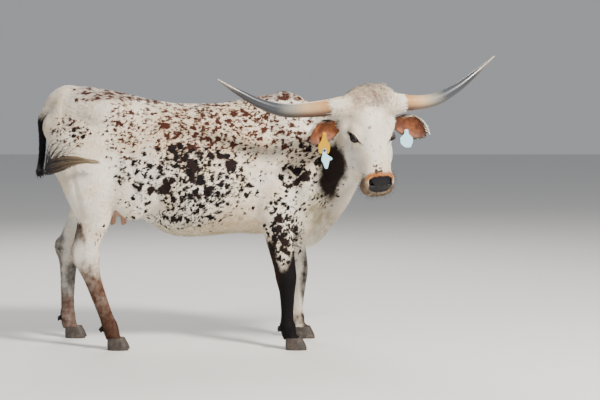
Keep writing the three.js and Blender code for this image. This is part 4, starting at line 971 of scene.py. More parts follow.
def paint_of(points):
    """Solid colour over the hair, and how far it covers it; some layers are painted shade. Later layers lie
    over earlier ones.
    """
    x, y, z = points.T
    a, n, l = on_face(points)
    head = smooth(-20, 20, flat_head(points)) * (a > -110)
    body = 1 - head
    near = y < 0
    wave = 14 * np.sin(x * 0.05 + z * 0.021) + 9 * np.sin(y * 0.09 + z * 0.043)
    colour = np.tile(np.array(CREAM_HAIR), (len(points), 1))
    cover = np.zeros(len(points))

    def lay(rgb, share):
        nonlocal colour, cover
        share = np.clip(share, 0, 1)
        total = share + cover * (1 - share)
        weight = np.where(total > 0, share / np.maximum(total, 1e-6), 0)[:, None]
        colour = mix(colour, np.array(rgb), weight)
        cover = total

    # Painted shade: olive under the belly
    lay(PAINTED_SHADE_OLIVE, body * 0.5 * smooth(700, 610, z) * smooth(-330, -200, x) * smooth(430, 300, x))
    # Painted shade: olive low on the front of the chest
    lay(PAINTED_SHADE_OLIVE, body * 0.5 * zone(x, z, 600, 740, 90, 110))
    lay(CREAM_HAIR, body * 0.45 * zone(x, z, 60, 1130, 560, 230))
    lay(CREAM_HAIR, body * 0.5 * zone(x, z, 230, 700, 160, 120))
    patch = np.hypot((x - 690 - 0.12 * (z - 920) - wave * 0.6) / 74, (z - 925 + wave) / 160)
    lay(PATCH_BROWN, body * smooth(1.2, 0.7, patch) * near)
    # Painted shade: olive on the brisket
    lay(PAINTED_SHADE_OLIVE, body * 0.35 * zone(x, z, 640, 640, 130, 110))
    back = smooth(1268, 1306, z + wave * 0.3) * smooth(-700, -560, x) * smooth(620, 520, x)
    lay(RED_HAIR, body * 0.5 * back)
    hanging = smooth(14, 4, tail_tube.distance(points)) * smooth(1255, 1170, z) * smooth(-740, -770, x)
    lay(BLACK_HAIR, hanging)
    lay(RED_LEG, hanging * 0.7 * smooth(-795, -780, x) * (z > 990))

    fore = (x > 300) & (x < 640) & (z < 600) & (np.abs(y) > 120)
    back_edge = smooth(440, 395, x)
    edge = 432 + 95 * np.clip(np.abs(x - 446) / 50, 0, 1.2) ** 2 + wave
    lay(BLACK_LEG, fore * near * smooth(edge + 40, edge - 30, z))
    lay(BROWN_LEG, fore * near * smooth(edge + 40, edge - 30, z) * back_edge * 0.8)
    lay(BLACK_LEG, fore * ~near * 0.85 * smooth(522, 548, x + wave * 0.4) * smooth(520, 430, z))
    lay(BROWN_LEG, fore * ~near * 0.6 * smooth(170, 110, z))

    hind = (x < -340) & (z < 660)
    below = smooth(530, 380, z + wave)
    lay(RED_LEG, hind * near * (below * 0.58 + 0.34 * smooth(450, 330, z)))
    lay(BROWN_LEG, hind * near * 0.7 * smooth(270, 110, z))
    lay(BROWN_LEG, hind * near * 0.9 * smooth(-555, -595, x) * zone(x, z, -612, 580, 70, 150))
    lay(WHITE_HAIR, hind * near * 0.95 * zone(x, z, -606 + wave * 0.4, 500, 36, 90))
    # Painted shade: the far hind leg greyed where it stands in shade
    lay(PAINTED_SHADE_GREY, hind * ~near * 0.4)
    lay(BROWN_LEG, hind * ~near * 0.75 * smooth(-730, -775, x - 0.05 * (z - 484)) * smooth(640, 520, z))
    lay(BLACK_LEG, hind * ~near * 0.75 * zone(x, z, -708, 350, 46, 110))
    lay(RED_LEG, hind * ~near * 0.85 * smooth(330, 200, z + wave))

    for form in DEWCLAWS:
        lay(BLACK_LEG, smooth(1.5, 1.1, np.linalg.norm((points - form[:3]) / np.array(form[3:6]), axis=1)))

    lay(POLL_BROWN, head * 0.5 * smooth(50, -30, a + 0.25 * np.abs(l - 20)) * smooth(118, 60, np.abs(l - 15)))
    # Painted shade: grey on the cheeks and the sides of the face
    lay(PAINTED_SHADE_GREY, head * 0.3 * smooth(0, -60, n) * smooth(40, 60, np.abs(l)) * (np.abs(l) < 115))
    for which in SIDES:
        share, _, turn, reach, _ = round_eye(points, which)
        inner = smooth(0.75, 0.98, np.cos(turn))
        wide = mix(1.42, 1.5, inner) + 0.12 * smooth(0.0, -1.0, np.cos(turn))
        lay(PAD_BLACK, np.where(reach < EYE_REACH, smooth(wide, wide - 0.2, share), 0))
    band = smooth(350, 366, a + wave * 0.15) * smooth(400, 384, a) * (n > -20)
    lay(TAN, head * 0.95 * band * smooth(84, 60, np.abs(l)))
    lay(TAN, head * 0.5 * smooth(372, 384, a) * smooth(-78, -60, n) * smooth(48, 62, np.abs(l)))
    # The lips' and chin's own brown, darkened as painted shade under the muzzle
    lay(LIP_BROWN_AND_SHADE, head * 0.85 * smooth(350, 385, a) * smooth(10, -30, n))
    lay(PAD_BLACK, pad_share(points))
    return colour, cover


def pad_share(points):
    """1 on the bare black pad of the nose."""
    a, n, l = on_face(points)
    squareness = 2.8
    rounded = ((np.abs(l) / PAD_WIDE) ** squareness
               + (np.abs(a - n - PAD_MIDDLE) / PAD_HIGH) ** squareness) ** (1 / squareness)
    return smooth(1.04, 0.96, rounded) * (a > 340) * smooth(-20, 20, flat_head(points))


def set_marks(mesh, roots):
    """Attributes that the coat's material reads: each corner's root, and the marks and paint there."""
    place = mesh.attributes.new("root", "FLOAT_VECTOR", "POINT")
    place.data.foreach_set("vector", placed(roots).astype(np.float32).ravel())
    full = np.ones(len(roots))
    colour, cover = paint_of(roots)
    for name, columns in (("marks", [*marks_of(roots), full]), ("paint", [*colour.T, cover])):
        layer = mesh.attributes.new(name, "FLOAT_COLOR", "POINT")
        layer.data.foreach_set("color", np.column_stack(columns).astype(np.float32).ravel())
    set_values(mesh, "bare", pad_share(roots))


def set_values(mesh, name, values):
    layer = mesh.attributes.new(name, "FLOAT", "POINT")
    layer.data.foreach_set("value", np.asarray(values, np.float32))


def vertex_normals(points, triangles):
    cross = np.cross(points[triangles[:, 1]] - points[triangles[:, 0]],
                     points[triangles[:, 2]] - points[triangles[:, 0]])
    normals = np.zeros_like(points)
    for k in range(3):
        np.add.at(normals, triangles[:, k], cross)
    return unit(normals)


# Creases and edges of the flanks: depth, width, then the places x, z that the line goes through
CREASES = [
    (7, 26, [(-372, 690), (-330, 790), (-318, 900), (-350, 1010)]),
    (6, 20, [(322, 668), (372, 640), (420, 650)]),
    (6, 30, [(300, 720), (330, 860), (352, 1000), (400, 1130)]),
    (4, 22, [(392, 900), (470, 840), (560, 830)]),
    (5, 24, [(-600, 1190), (-500, 1150), (-420, 1170)]),
    (5, 18, [(-640, 960), (-610, 800), (-590, 700)]),
    (4, 13, [(596, 1120), (612, 1000), (628, 880)]),
    (4, 13, [(640, 1140), (660, 1020), (668, 900)]),
    (3, 12, [(690, 1120), (704, 1010), (708, 930)]),
    (4, 16, [(500, 1180), (520, 1080), (560, 990)]),
]
RIB_STEP, RIB_DEPTH = 62, 1.6


def from_line(x, z, line):
    """Distance from a line through places on the flank."""
    nearest = np.full(len(x), np.inf)
    line = np.array(line, float)
    for a, b in zip(line, line[1:]):
        run = b - a
        t = np.clip(((x - a[0]) * run[0] + (z - a[1]) * run[1]) / (run @ run), 0, 1)
        nearest = np.minimum(nearest, np.hypot(x - a[0] - run[0] * t, z - a[1] - run[1] * t))
    return nearest


def sculpt_body(points, normals):
    """Creases, faint ribs and folds of loose skin, pressed in along the normals."""
    x, y, z = points.T
    sideways = smooth(0.3, 0.7, np.abs(normals[:, 1])) * (np.abs(y) > 40) * smooth(20, -20, flat_head(points))
    depth = sum(deep * np.exp(-(from_line(x, z, line) / width) ** 2) for deep, width, line in CREASES)
    ribs = np.sin(2 * np.pi * (x + 0.32 * (z - 900)) / RIB_STEP)
    ribs *= smooth(-260, -190, x) * smooth(260, 190, x) * smooth(720, 800, z) * smooth(1120, 1010, z)
    depth = depth + RIB_DEPTH * ribs
    folds = np.sin(2 * np.pi * (x * 0.75 + z * 0.25) / 46) * zone(x, z, 640, 820, 90, 150)
    return points - normals * ((depth + 2.2 * folds) * sideways)[:, None]


# The skin
coat_finish = coat_material()
skin_points, skin_quads, skin_ngons = skin_surface()
fans = [(ring[0], ring[k], ring[k + 1]) for ring in skin_ngons for k in range(1, len(ring) - 1)]
skin_triangles = np.vstack([skin_quads[:, [0, 1, 2]], skin_quads[:, [0, 2, 3]], np.array(fans)])
skin_points = sculpt_body(skin_points, vertex_normals(skin_points, skin_triangles))
skin_normals = vertex_normals(skin_points, skin_triangles)
skin = new_mesh("skin", skin_points, skin_quads.tolist() + skin_ngons)
set_marks(skin.data, skin_points)
set_values(skin.data, "tint", np.full(len(skin_points), 0.5))
FLESH_NODES = ["head", "neck", "torso", "tail_upper", "tail_lower"]
FLESH_NODES += [f"{pair}_leg_{part}_{which}" for pair in ("fore", "hind") for part in ("upper", "lower")
                for which in SIDES]
finished(skin, "coat", coat_finish, *FLESH_NODES)


# Hair as closed tufts and locks, joined into a few meshes
class Roots:
    """Places on a surface, with the direction out of it and the lie of the hair."""

    def __init__(self, points, normals, lies):
        self.points, self.normals = np.asarray(points, float), unit(np.asarray(normals, float))
        across = unit(np.cross(self.normals, lies))
        self.across, self.lies = across, np.cross(across, self.normals)

    def only(self, chosen):
        return Roots(self.points[chosen], self.normals[chosen], self.lies[chosen])

    def __len__(self):
        return len(self.points)


def turned(roots, angles):
    """The same roots with their lie turned about the surface's normal."""
    c, s = np.cos(angles)[:, None], np.sin(angles)[:, None]
    return Roots(roots.points, roots.normals, roots.lies * c + roots.across * s)


def tufts(roots, length, width, lift, rng):
    """Small flat tufts: a sunk root, a middle as wide as the tuft with a ridge on it, and a tip."""
    count = len(roots)
    length = length * rng.uniform(0.75, 1.25, count)[:, None]
    width = width * rng.uniform(0.8, 1.2, count)[:, None]
    lift = lift * rng.uniform(0.6, 1.4, count)[:, None]
    middle = roots.points + roots.lies * length * 0.42 + roots.normals * (lift * 0.75 + 0.4)
    corners = [
        roots.points - roots.normals * 2.0,
        middle - roots.across * width / 2,
        middle + roots.normals * width * 0.22,
        middle + roots.across * width / 2,
        roots.points + roots.lies * length + roots.normals * lift,
    ]
    points = np.stack(corners, 1).reshape(-1, 3)
    faces = np.array([(0, 1, 2), (0, 2, 3), (1, 4, 2), (2, 4, 3), (0, 3, 1), (1, 3, 4)])
    faces = (faces[None] + 5 * np.arange(count)[:, None, None]).reshape(-1, 3)
    return points, faces, np.repeat(np.arange(count), 5)


def strands(spine, width, normals, thick=0.45, point=0.12):
    """Closed three-sided strands round spines, one row of corners for each step, tapering to a tip."""
    steps = len(spine) - 1
    rings = []
    for k, t in enumerate(np.linspace(0, 1, steps + 1)):
        size = width * mix(1.0, point, t**1.6) * (0.6 if k == 0 else 1)
        ahead = unit(spine[min(k + 1, steps)] - spine[max(k - 1, 0)])
        across = unit(np.cross(normals, ahead))
        high = np.cross(ahead, across)
        for turn in (0, 2 * np.pi / 3, 4 * np.pi / 3):
            rings.append(spine[k] + across * (np.cos(turn) * size / 2)[:, None]
                         + high * (np.sin(turn) * size / 2 * thick)[:, None])
    points = np.stack(rings, 1)
    faces = [(0, 2, 1), (3 * steps, 3 * steps + 1, 3 * steps + 2)]
    for k in range(0, 3 * steps, 3):
        for i, j in ((0, 1), (1, 2), (2, 0)):
            faces += [(k + i, k + j, k + 3 + j), (k + i, k + 3 + j, k + 3 + i)]
    each = 3 * (steps + 1)
    count = len(width)
    faces = (np.array(faces)[None] + each * np.arange(count)[:, None, None]).reshape(-1, 3)
    return points.reshape(-1, 3), faces, np.repeat(np.arange(count), each)


def locks(roots, length, width, bend, rng, steps=5, wave=0.0, turns=1.0, thick=0.45):
    """Long locks that start along the lie and turn towards bend. wave is the reach of their curl as a share
    of the length."""
    count = len(roots)
    length = np.broadcast_to(length, count) * rng.uniform(0.75, 1.2, count)
    width = np.broadcast_to(width, count) * rng.uniform(0.75, 1.25, count)
    phase = rng.uniform(0, 2 * np.pi, count)
    spine = []
    heading = unit(roots.lies)
    at = roots.points - roots.normals * 2.5
    for t in np.linspace(0, 1, steps + 1):
        swing = wave * length * t
        angle = phase + 2 * np.pi * turns * t
        spine.append(at + roots.across * (swing * np.cos(angle))[:, None]
                     + roots.normals * (swing * np.sin(angle) * 0.5)[:, None])
        heading = unit(heading + np.asarray(bend) * (1.6 / steps))
        at = at + heading * (length / steps)[:, None]
    return strands(spine, width, roots.normals, thick)


UV_PATCH = 0.003
MOST_TUFTS = 32500


def hair_piece(name, parts, unwrap, material, slot, rng, soft=0.6, *replaced):
    """Joins tufts and locks into one piece. unwrap gives each root's place on an unwrap of the skin."""
    all_points, all_faces, all_roots, all_normals, tints, places = [], [], [], [], [], []
    offset = 0
    for roots, (points, faces, owner) in parts:
        all_points.append(points)
        all_faces.append(faces + offset)
        all_roots.append(roots.points[owner])
        all_normals.append(roots.normals[owner])
        tints.append(rng.normal(0.5, 0.17, len(roots))[owner])
        spot = unwrap(roots.points)[owner]
        across = (points - roots.points[owner])
        patch = np.column_stack([(across * roots.across[owner]).sum(1), (across * roots.lies[owner]).sum(1)])
        reach = np.maximum(np.abs(patch).max(), 1e-6)
        places.append(spot + patch / reach * UV_PATCH / 2)
        offset += len(points)
    points, faces = np.vstack(all_points), np.vstack(all_faces)
    mesh = bpy.data.meshes.new(name)
    mesh.vertices.add(len(points))
    mesh.vertices.foreach_set("co", placed(points).astype(np.float32).ravel())
    mesh.loops.add(len(faces) * 3)
    mesh.loops.foreach_set("vertex_index", faces.astype(np.int32).ravel())
    mesh.polygons.add(len(faces))
    mesh.polygons.foreach_set("loop_start", np.arange(0, len(faces) * 3, 3, dtype=np.int32))
    mesh.update(calc_edges=True)
    mesh.validate()
    mesh.shade_smooth()
    uv = mesh.uv_layers.new(name="OFBake")
    uv.data.foreach_set("uv", np.vstack(places)[faces.ravel()].astype(np.float32).ravel())
    set_marks(mesh, np.vstack(all_roots))
    set_values(mesh, "tint", np.clip(np.concatenate(tints), 0, 1))
    own = np.zeros(len(points) * 3, np.float32)
    mesh.vertices.foreach_get("normal", own)
    softened = unit(mix(own.reshape(-1, 3), np.vstack(all_normals), soft))
    mesh.normals_split_custom_set_from_vertices(softened.tolist())
    thing = bpy.data.objects.new(name, mesh)
    bpy.context.scene.collection.objects.link(thing)
    return finished(thing, slot, material, *replaced)


def scatter(points, triangles, count, rng, weight):
    """Random places on triangles, and the triangle that each lies on."""
    a, b, c = (points[triangles[:, k]] for k in range(3))
    cross = np.cross(b - a, c - a)
    share = np.linalg.norm(cross, axis=1) * weight
    chosen = rng.choice(len(triangles), count, p=share / share.sum())
    u, w = rng.random(count), rng.random(count)
    over = u + w > 1
    u, w = np.where(over, 1 - u, u), np.where(over, 1 - w, w)
    place = a[chosen] + (b - a)[chosen] * u[:, None] + (c - a)[chosen] * w[:, None]
    return place, chosen


# Parts of the body that have their own unwrap and their own piece of coat
REGION_TUBES = {"torso": torso_tube, "neck": neck_tube, **leg_tubes, "tail": tail_tube}


def regions_of(points):
    """The name of the part that each point belongs to."""
    names = list(REGION_TUBES)
    distances = np.column_stack([in_chunks(tube.distance, points) for tube in REGION_TUBES.values()])
    distances[:, names.index("torso")] -= 12
    nearest = np.array(names)[distances.argmin(1)]
    return np.where(flat_head(points) > 0, "head", nearest)


def lie_of(points, normals):
    """The lie of the hair: back and down over the body, down the legs, and down and back over the face."""
    x, y, z = points.T
    a, n, l = on_face(points)
    trunk = np.column_stack([-np.ones(len(x)), np.zeros(len(x)), mix(-0.25, -0.6, smooth(1150, 850, z))])
    leg = -UP - np.array([0.15, 0, 0])
    neck = np.array([-0.75, 0.2, -0.65])
    lie = mix(trunk, leg, smooth(760, 600, z)[:, None])
    lie = mix(lie, neck, (smooth(480, 640, x) * smooth(500, 620, z))[:, None])
    belly = smooth(700, 640, z)[:, None] * (np.abs(y) < 150)[:, None] * (z > 540)[:, None]
    lie = mix(lie, np.array([-0.8, 0, -0.4]), belly * 0.7)
    tail = smooth(-745, -775, x)[:, None] * (z > 880)[:, None]
    lie = mix(lie, -UP, tail)
    cheek = smooth(20, -70, n)[:, None]
    face = down_face + side * (np.sign(l) * 0.35)[:, None]
    face = mix(face, face * 0.3 - out_of_face, cheek)
    top = smooth(40, -60, a)[:, None]
    face = mix(face, out_of_face * 0.3 + down_face * 0.5 + side * (l / 130)[:, None], top)
    lie = mix(lie, face, smooth(-25, 25, flat_head(points))[:, None])
    whorl = np.column_stack([np.sin(y * 0.011 + z * 0.017), np.cos(x * 0.013 + z * 0.011), np.sin(x * 0.012)])
    lie = lie + 0.14 * whorl
    return lie - normals * (lie * normals).sum(1)[:, None]


def inset(spots):
    """Draws an unwrap a little in from the edges of its square."""
    return 0.004 + 0.992 * spots


def unwrapper(tube, mirrored_sides=False):
    """Places along and round a tube as an unwrap of it from 0 to 1."""
    def unwrap(points):
        along, turn = [], []
        for k in range(0, len(points), CHUNK):
            _, s, angle = tube.locate(points[k:k + CHUNK])
            along.append(s)
            turn.append(angle)
        turn = np.concatenate(turn) / np.pi
        across = np.abs(turn) if mirrored_sides else (turn + 1) / 2
        return inset(np.column_stack([np.clip(np.concatenate(along), 0, 1), across]))
    return unwrap


def unwrap_body(points):
    """The regions' unwraps side by side, each in a strip of its own."""
    spots = np.zeros((len(points), 2))
    region = regions_of(points)
    unwraps = {name: unwrapper(tube) for name, tube in REGION_TUBES.items()} | {"head": unwrap_head}
    for k, (name, unwrap) in enumerate(unwraps.items()):
        chosen = region == name
        if chosen.any():
            spots[chosen] = (unwrap(points[chosen]) * 0.98 + 0.01 + (0, k)) / (1, len(unwraps))
    return spots


def unwrap_head(points):
    """Round the axis of the head, which runs down the face."""
    a, n, l = on_face(points)
    turn = (np.arctan2(l, n + 60) / np.pi + 1) / 2
    return inset(np.clip(np.column_stack([(a + 120) / 580, turn]), 0, 1))


# How many short tufts there are, and how thickly they stand on the head and the legs
TUFT_COUNT, QUICK_TUFTS = 138000, 9000
ON_HEAD, ON_LEGS, LEG_TOP = 2.6, 1.9, 560
# Length, width and lift of the tufts
TUFT_SIZES = {"head": (8.0, 2.8, 1.2), "leg": (9.5, 3.4, 1.4), "body": (11.5, 4.0, 1.8)}


def short_coat():
    """The short coat over the whole skin, one piece for each part of the body."""
    rng = np.random.default_rng(21)
    count = TUFT_COUNT
    middles = skin_points[skin_triangles].mean(1)
    weight = np.where(flat_head(middles) > 0, ON_HEAD, 1.0)
    weight = np.where(middles[:, 2] < LEG_TOP, ON_LEGS, weight)
    places, chosen = scatter(skin_points, skin_triangles, count, rng, weight)
    triangle = skin_triangles[chosen]
    normals = unit(skin_normals[triangle].mean(1))
    keep = pad_share(places) < 0.2
    for which in SIDES:
        share, _, _, reach, _ = round_eye(places, which)
        keep &= ~((reach < EYE_REACH) & (share < 1.3))
    for sign in SIDES.values():
        share, height = round_nostril(places, sign)
        keep &= ~((share < 1.5) & (np.abs(height) < NOSTRIL_REACH))
    keep &= places[:, 2] > HOOF_HEIGHT
    places, normals = places[keep], normals[keep]
    roots = Roots(places, normals, lie_of(places, normals))
    roots = turned(roots, rng.normal(0, 0.22, len(roots)))
    region = regions_of(places)
    for name in ["torso_right", "torso_left", "neck", "head", *leg_tubes, "tail"]:
        base = name.split("_")[0] if name.startswith("torso") else name
        chosen = region == base
        if name.startswith("torso"):
            chosen &= (roots.points[:, 1] < 0) == (name == "torso_right")
        own = roots.only(chosen)
        kind = "head" if name == "head" else "leg" if name in leg_tubes else "body"
        unwrap = unwrap_head if name == "head" else unwrapper(REGION_TUBES[base], base == "torso")
        mostly = own.only(np.arange(min(len(own), MOST_TUFTS)))
        made = tufts(mostly, *TUFT_SIZES[kind], rng)
        hair_piece(f"coat_{name}", [(mostly, made)], unwrap, coat_finish, "coat", rng)


short_coat()


# Horns
def horn_material():
    """Cream and tan at the base, slate past the middle and paler at the tip, with a darker underside that is
    painted shade.
    """
    finish = Finish("horn")
    along = finish.attribute("along")
    # How far the surface faces down; the underside is darkened as painted shade
    below = finish.attribute("below")
    grain = finish.noise(finish.attribute("grain", "Vector"), 9.0, 4.0, 0.6)
    place = along + (grain - 0.5) * 0.12
    base = finish.ramp(place, [
        (0, (0.16, 0.05, 0.018)), (0.07, (0.34, 0.13, 0.04)), (0.2, (0.46, 0.23, 0.08)),
        (0.34, (0.5, 0.33, 0.18)), (0.43, (0.26, 0.24, 0.2)), (0.55, (0.05, 0.055, 0.065)),
        (0.8, (0.03, 0.03, 0.035)), (0.93, (0.2, 0.17, 0.13)), (1, (0.36, 0.3, 0.22)),
    ])
    # Painted shade: darker colours for the underside of the horn
    underside_shade = finish.ramp(place, [
        (0, (0.05, 0.018, 0.009)), (0.34, (0.09, 0.032, 0.012)), (0.44, (0.04, 0.024, 0.016)),
        (0.55, (0.018, 0.018, 0.022)), (0.85, (0.03, 0.03, 0.032)), (1, (0.25, 0.2, 0.15)),
    ])
    colour = finish.mix(below.step(-0.1, 0.8), base, underside_shade)
    rings = finish.noise(finish.attribute("grain", "Vector"), 60.0, 2.0, 0.5)
    return finish.done(Base_Color=colour, Roughness=0.24 + grain * 0.2, Coat_Weight=0.35, Coat_Roughness=0.15,
                       Normal=finish.bump(rings, 0.2, 0.001))


HORN_RINGS, HORN_SIDES = 90, 32


def horn(which, material):
    sign = SIDES[which]
    path = Path([from_level(sign * l, f, u) for l, f, u in HORN_PATHS[which]])
    places = np.linspace(0, 1, HORN_RINGS)
    radius = HORN_BASE_RADIUS * taper_at(HORN_TAPER, places) - 0.3
    wobble = 0.7 * np.sin(places * 150) + 0.5 * np.sin(places * 67 + 1)
    radius = radius + wobble * smooth(0.42, 0.1, places)
    rings = rings_across(path, places, head_up, radius, radius, HORN_SIDES)
    points, faces = loft(rings)
    thing = outward(new_mesh(f"horn_piece_{which}", points, faces))
    along = np.concatenate([places.repeat(HORN_SIDES), [0, 1]])
    centre = np.vstack([path.at(places).repeat(HORN_SIDES, 0), points[-2:]])
    set_values(thing.data, "along", along)
    # How far the surface faces down, for the painted shade under the horn
    set_values(thing.data, "below", -unit(points - centre)[:, 2])
    turn = np.arctan2((points - centre) @ forward, (points - centre) @ head_up)
    grain = thing.data.attributes.new("grain", "FLOAT_VECTOR", "POINT")
    grain.data.foreach_set("vector", np.column_stack([along * 6 + sign, np.cos(turn), np.sin(turn)])
                           .astype(np.float32).ravel())
    return finished(thing, "horn", material, f"horn_{which}")


horn_finish = horn_material()
for which in SIDES:
    horn(which, horn_finish)


# Ears: a leaf-shaped cup, bare and reddish inside, with white hair on its back and upper rim
EAR_RINGS, EAR_SIDES = 36, 48


def ear_frame(which):
    sign = SIDES[which]
    root, tip = (from_level(sign * p[0], p[1], p[2]) for p in (EAR_ROOT[which], EAR_TIP[which]))
    axis = unit(tip - root)
    face = unit(forward - head_up * 0.18 - axis * (forward @ axis))
    return root, tip, axis, face, unit(np.cross(axis, face))


def ear_surface(which, t, s, lift):
    """A place on the ear: t from root to tip, s from one rim to the other, lift out of the cup's middle."""
    root, tip, _, face, broad = ear_frame(which)
    droop = 16 * np.sin(np.pi * t * 0.9)
    reach = t * EAR_LENGTH / np.linalg.norm(tip - root)
    centre = root + (tip - root) * reach[..., None] + head_up * droop[..., None]
    half = EAR_WIDTH / 2 * taper_at(EAR_SHAPE, t) - 0.4
    cup = half * mix(0.3, 0.42, t) * np.minimum(t * 10, 1)
    ripple = 1.4 * np.sin(t * 31 + s * 3) * np.abs(s) ** 3
    out = cup * (s * s - 0.5) + lift + ripple
    return centre + broad * (half * s)[..., None] + face * out[..., None]


def ear_thickness(t):
    """Half the thickness of the ear: fleshy at its root and thin from the middle on."""
    return mix(15, 3.2, np.minimum(1, t * 2.2))


def ear_points(which):
    t = np.linspace(0.02, 1, EAR_RINGS)[:, None]
    turn = np.linspace(0, 2 * np.pi, EAR_SIDES, endpoint=False)[None]
    s = np.cos(turn) + 0 * t
    lift = (ear_thickness(t) - 0.5) * np.sign(np.sin(turn)) * np.abs(np.sin(turn)) ** 0.7
    return ear_surface(which, t + 0 * turn, s, lift), t + 0 * turn, s, np.sin(turn) + 0 * t


def ear_material():
    finish = Finish("ear")
    inside = finish.attribute("inside")
    rim = finish.attribute("rim")
    red = finish.attribute("red")
    place = finish.place()
    patch = finish.noise(place, 24.0, 4.0, 0.6)
    flesh_colour = finish.mix(patch.step(0.35, 0.65), (0.1, 0.027, 0.01), (0.3, 0.095, 0.03))
    flesh_colour = finish.mix(red * patch.step(0.5, 0.6), flesh_colour, (0.1, 0.022, 0.012))
    flesh_colour = finish.mix(rim.step(0.7, 1.0) * 0.8, flesh_colour, (0.05, 0.018, 0.012))
    colour = finish.mix(inside, (0.66, 0.6, 0.52), flesh_colour)
    return finish.done(Base_Color=colour, Roughness=0.62, Specular_IOR_Level=0.35,
                       Normal=finish.bump(finish.noise(place, 240.0, 3.0, 0.6), 0.4, 0.0015))


ear_finish = ear_material()
for which in SIDES:
    rings, t, s, over = ear_points(which)
    points, faces = loft(rings)
    piece = outward(new_mesh(f"ear_piece_{which}", points, faces))
    ends = [0.0, 0.0]
    set_values(piece.data, "inside", np.concatenate([smooth(-0.1, 0.25, over).ravel(), ends]))
    set_values(piece.data, "rim", np.concatenate([np.maximum(np.abs(s), t).ravel(), ends]))
    redness = smooth(0.2, 0.6, t) * (0.45 if which == "left" else 0.1)
    set_values(piece.data, "red", np.concatenate([redness.ravel(), ends]))
    finished(piece, "ear", ear_finish, f"ear_{which}")


def ear_hair(which):
    """White hair over the back and the upper rim, and shorter hair along the lower rim."""
    rng = np.random.default_rng(31 if which == "left" else 32)
    root, _, axis, face, broad = ear_frame(which)
    upper = 1 if (broad @ head_up) > 0 else -1
    parts = []
    count = 2600
    t, s = rng.uniform(0.1, 0.98, count), rng.uniform(-0.97, 0.97, count)
    back = ear_surface(which, t, s, -ear_thickness(t) * np.sqrt(1 - s * s) * 0.9)
    lies = axis + broad * (s * 0.4)[:, None]
    roots = Roots(back, np.tile(-face, (count, 1)) + broad * (s * 0.5)[:, None], lies)
    parts.append((roots, tufts(roots, 13.0, 3.6, 1.5, rng)))
    count = 620
    t = rng.uniform(0.12, 1.0, count) ** 0.8
    rim = np.where(rng.random(count) < 0.62, upper, -upper) * 0.985
    edge = ear_surface(which, t, rim, np.zeros(count))
    outwards = broad * rim[:, None]
    roots = Roots(edge, outwards + face * rng.normal(0.1, 0.3, count)[:, None], axis + outwards * 0.9)
    length = np.where(rim * upper > 0, 26.0, 16.0)
    parts.append((roots, locks(roots, length, 2.6, axis * 0.25 - UP * 0.15, rng)))

    def unwrap(points):
        offset = points - root
        return 0.05 + 0.9 * np.clip(np.column_stack([offset @ axis / EAR_LENGTH,
                                                     offset @ broad / EAR_WIDTH + 0.5]), 0, 1)
    return hair_piece(f"ear_hair_{which}", parts, unwrap, coat_finish, "coat", rng)


for which in SIDES:
    ear_hair(which)


# Eyes
def eye_material():
    """A dark brown eye with a wide level pupil, wet all over."""
    finish = Finish("eye")
    off_gaze = finish.attribute("off_gaze")
    pupil = finish.attribute("pupil")
    colour = finish.ramp(off_gaze, [
        (0, (0.014, 0.006, 0.004)), (0.3, (0.022, 0.009, 0.005)), (0.36, (0.006, 0.004, 0.004)),
        (0.5, (0.05, 0.035, 0.03)), (1, (0.03, 0.02, 0.02)),
    ])
    colour = finish.mix(pupil.step(1.15, 0.95), colour, (0.004, 0.004, 0.006))
    return finish.done(Base_Color=colour, Roughness=0.1, Specular_IOR_Level=0.3)


eye_finish = eye_material()
EYE_STEPS = 48
PUPIL_LONG, PUPIL_HIGH = math.sin(0.42), math.sin(0.2)
for which in SIDES:
    polar = np.linspace(0.001, np.pi - 0.001, EYE_STEPS)[:, None]
    turn = np.linspace(0, 2 * np.pi, EYE_STEPS, endpoint=False)[None]
    swell = EYE_RADIUS - 0.5 + 1.2 * smooth(0.7, 0.2, polar)
    points, faces = loft(EYE_CENTRES[which] + from_gaze(which, polar, turn) * swell[..., None])
    piece = outward(new_mesh(f"eye_ball_{which}", points, faces))
    flat = np.hypot(np.sin(polar) * np.cos(turn) / PUPIL_LONG, np.sin(polar) * np.sin(turn) / PUPIL_HIGH)
    set_values(piece.data, "off_gaze", np.concatenate([(polar + 0 * turn).ravel() / np.pi, [0, 1]]))
    set_values(piece.data, "pupil", np.concatenate([np.where(polar < 1.5, flat, 9).ravel(), [0, 9]]))
    finished(piece, "eye", eye_finish, f"eye_{which}")


# Hooves: two claws to a foot
def hoof_material():
    finish = Finish("hoof")
    place = finish.place()
    rings = finish.attribute("rings")
    streak = finish.noise(place, 45.0, 4.0, 0.6)
    colour = finish.ramp(streak, [
        (0.3, (0.018, 0.015, 0.014)), (0.55, (0.05, 0.036, 0.028)), (0.8, (0.13, 0.1, 0.07)),
    ])
    return finish.done(Base_Color=colour, Roughness=0.42 + streak * 0.3,
                       Normal=finish.bump(rings + finish.noise(place, 400.0, 2.0, 0.5) * 0.5, 0.4, 0.0015))


CLAW_LENGTH, CLAW_WIDTH = 112, 46
CLAW_LEVELS = [(0, 1), (0.4, 0.93), (1, 0.74)]
hoof_finish = hoof_material()


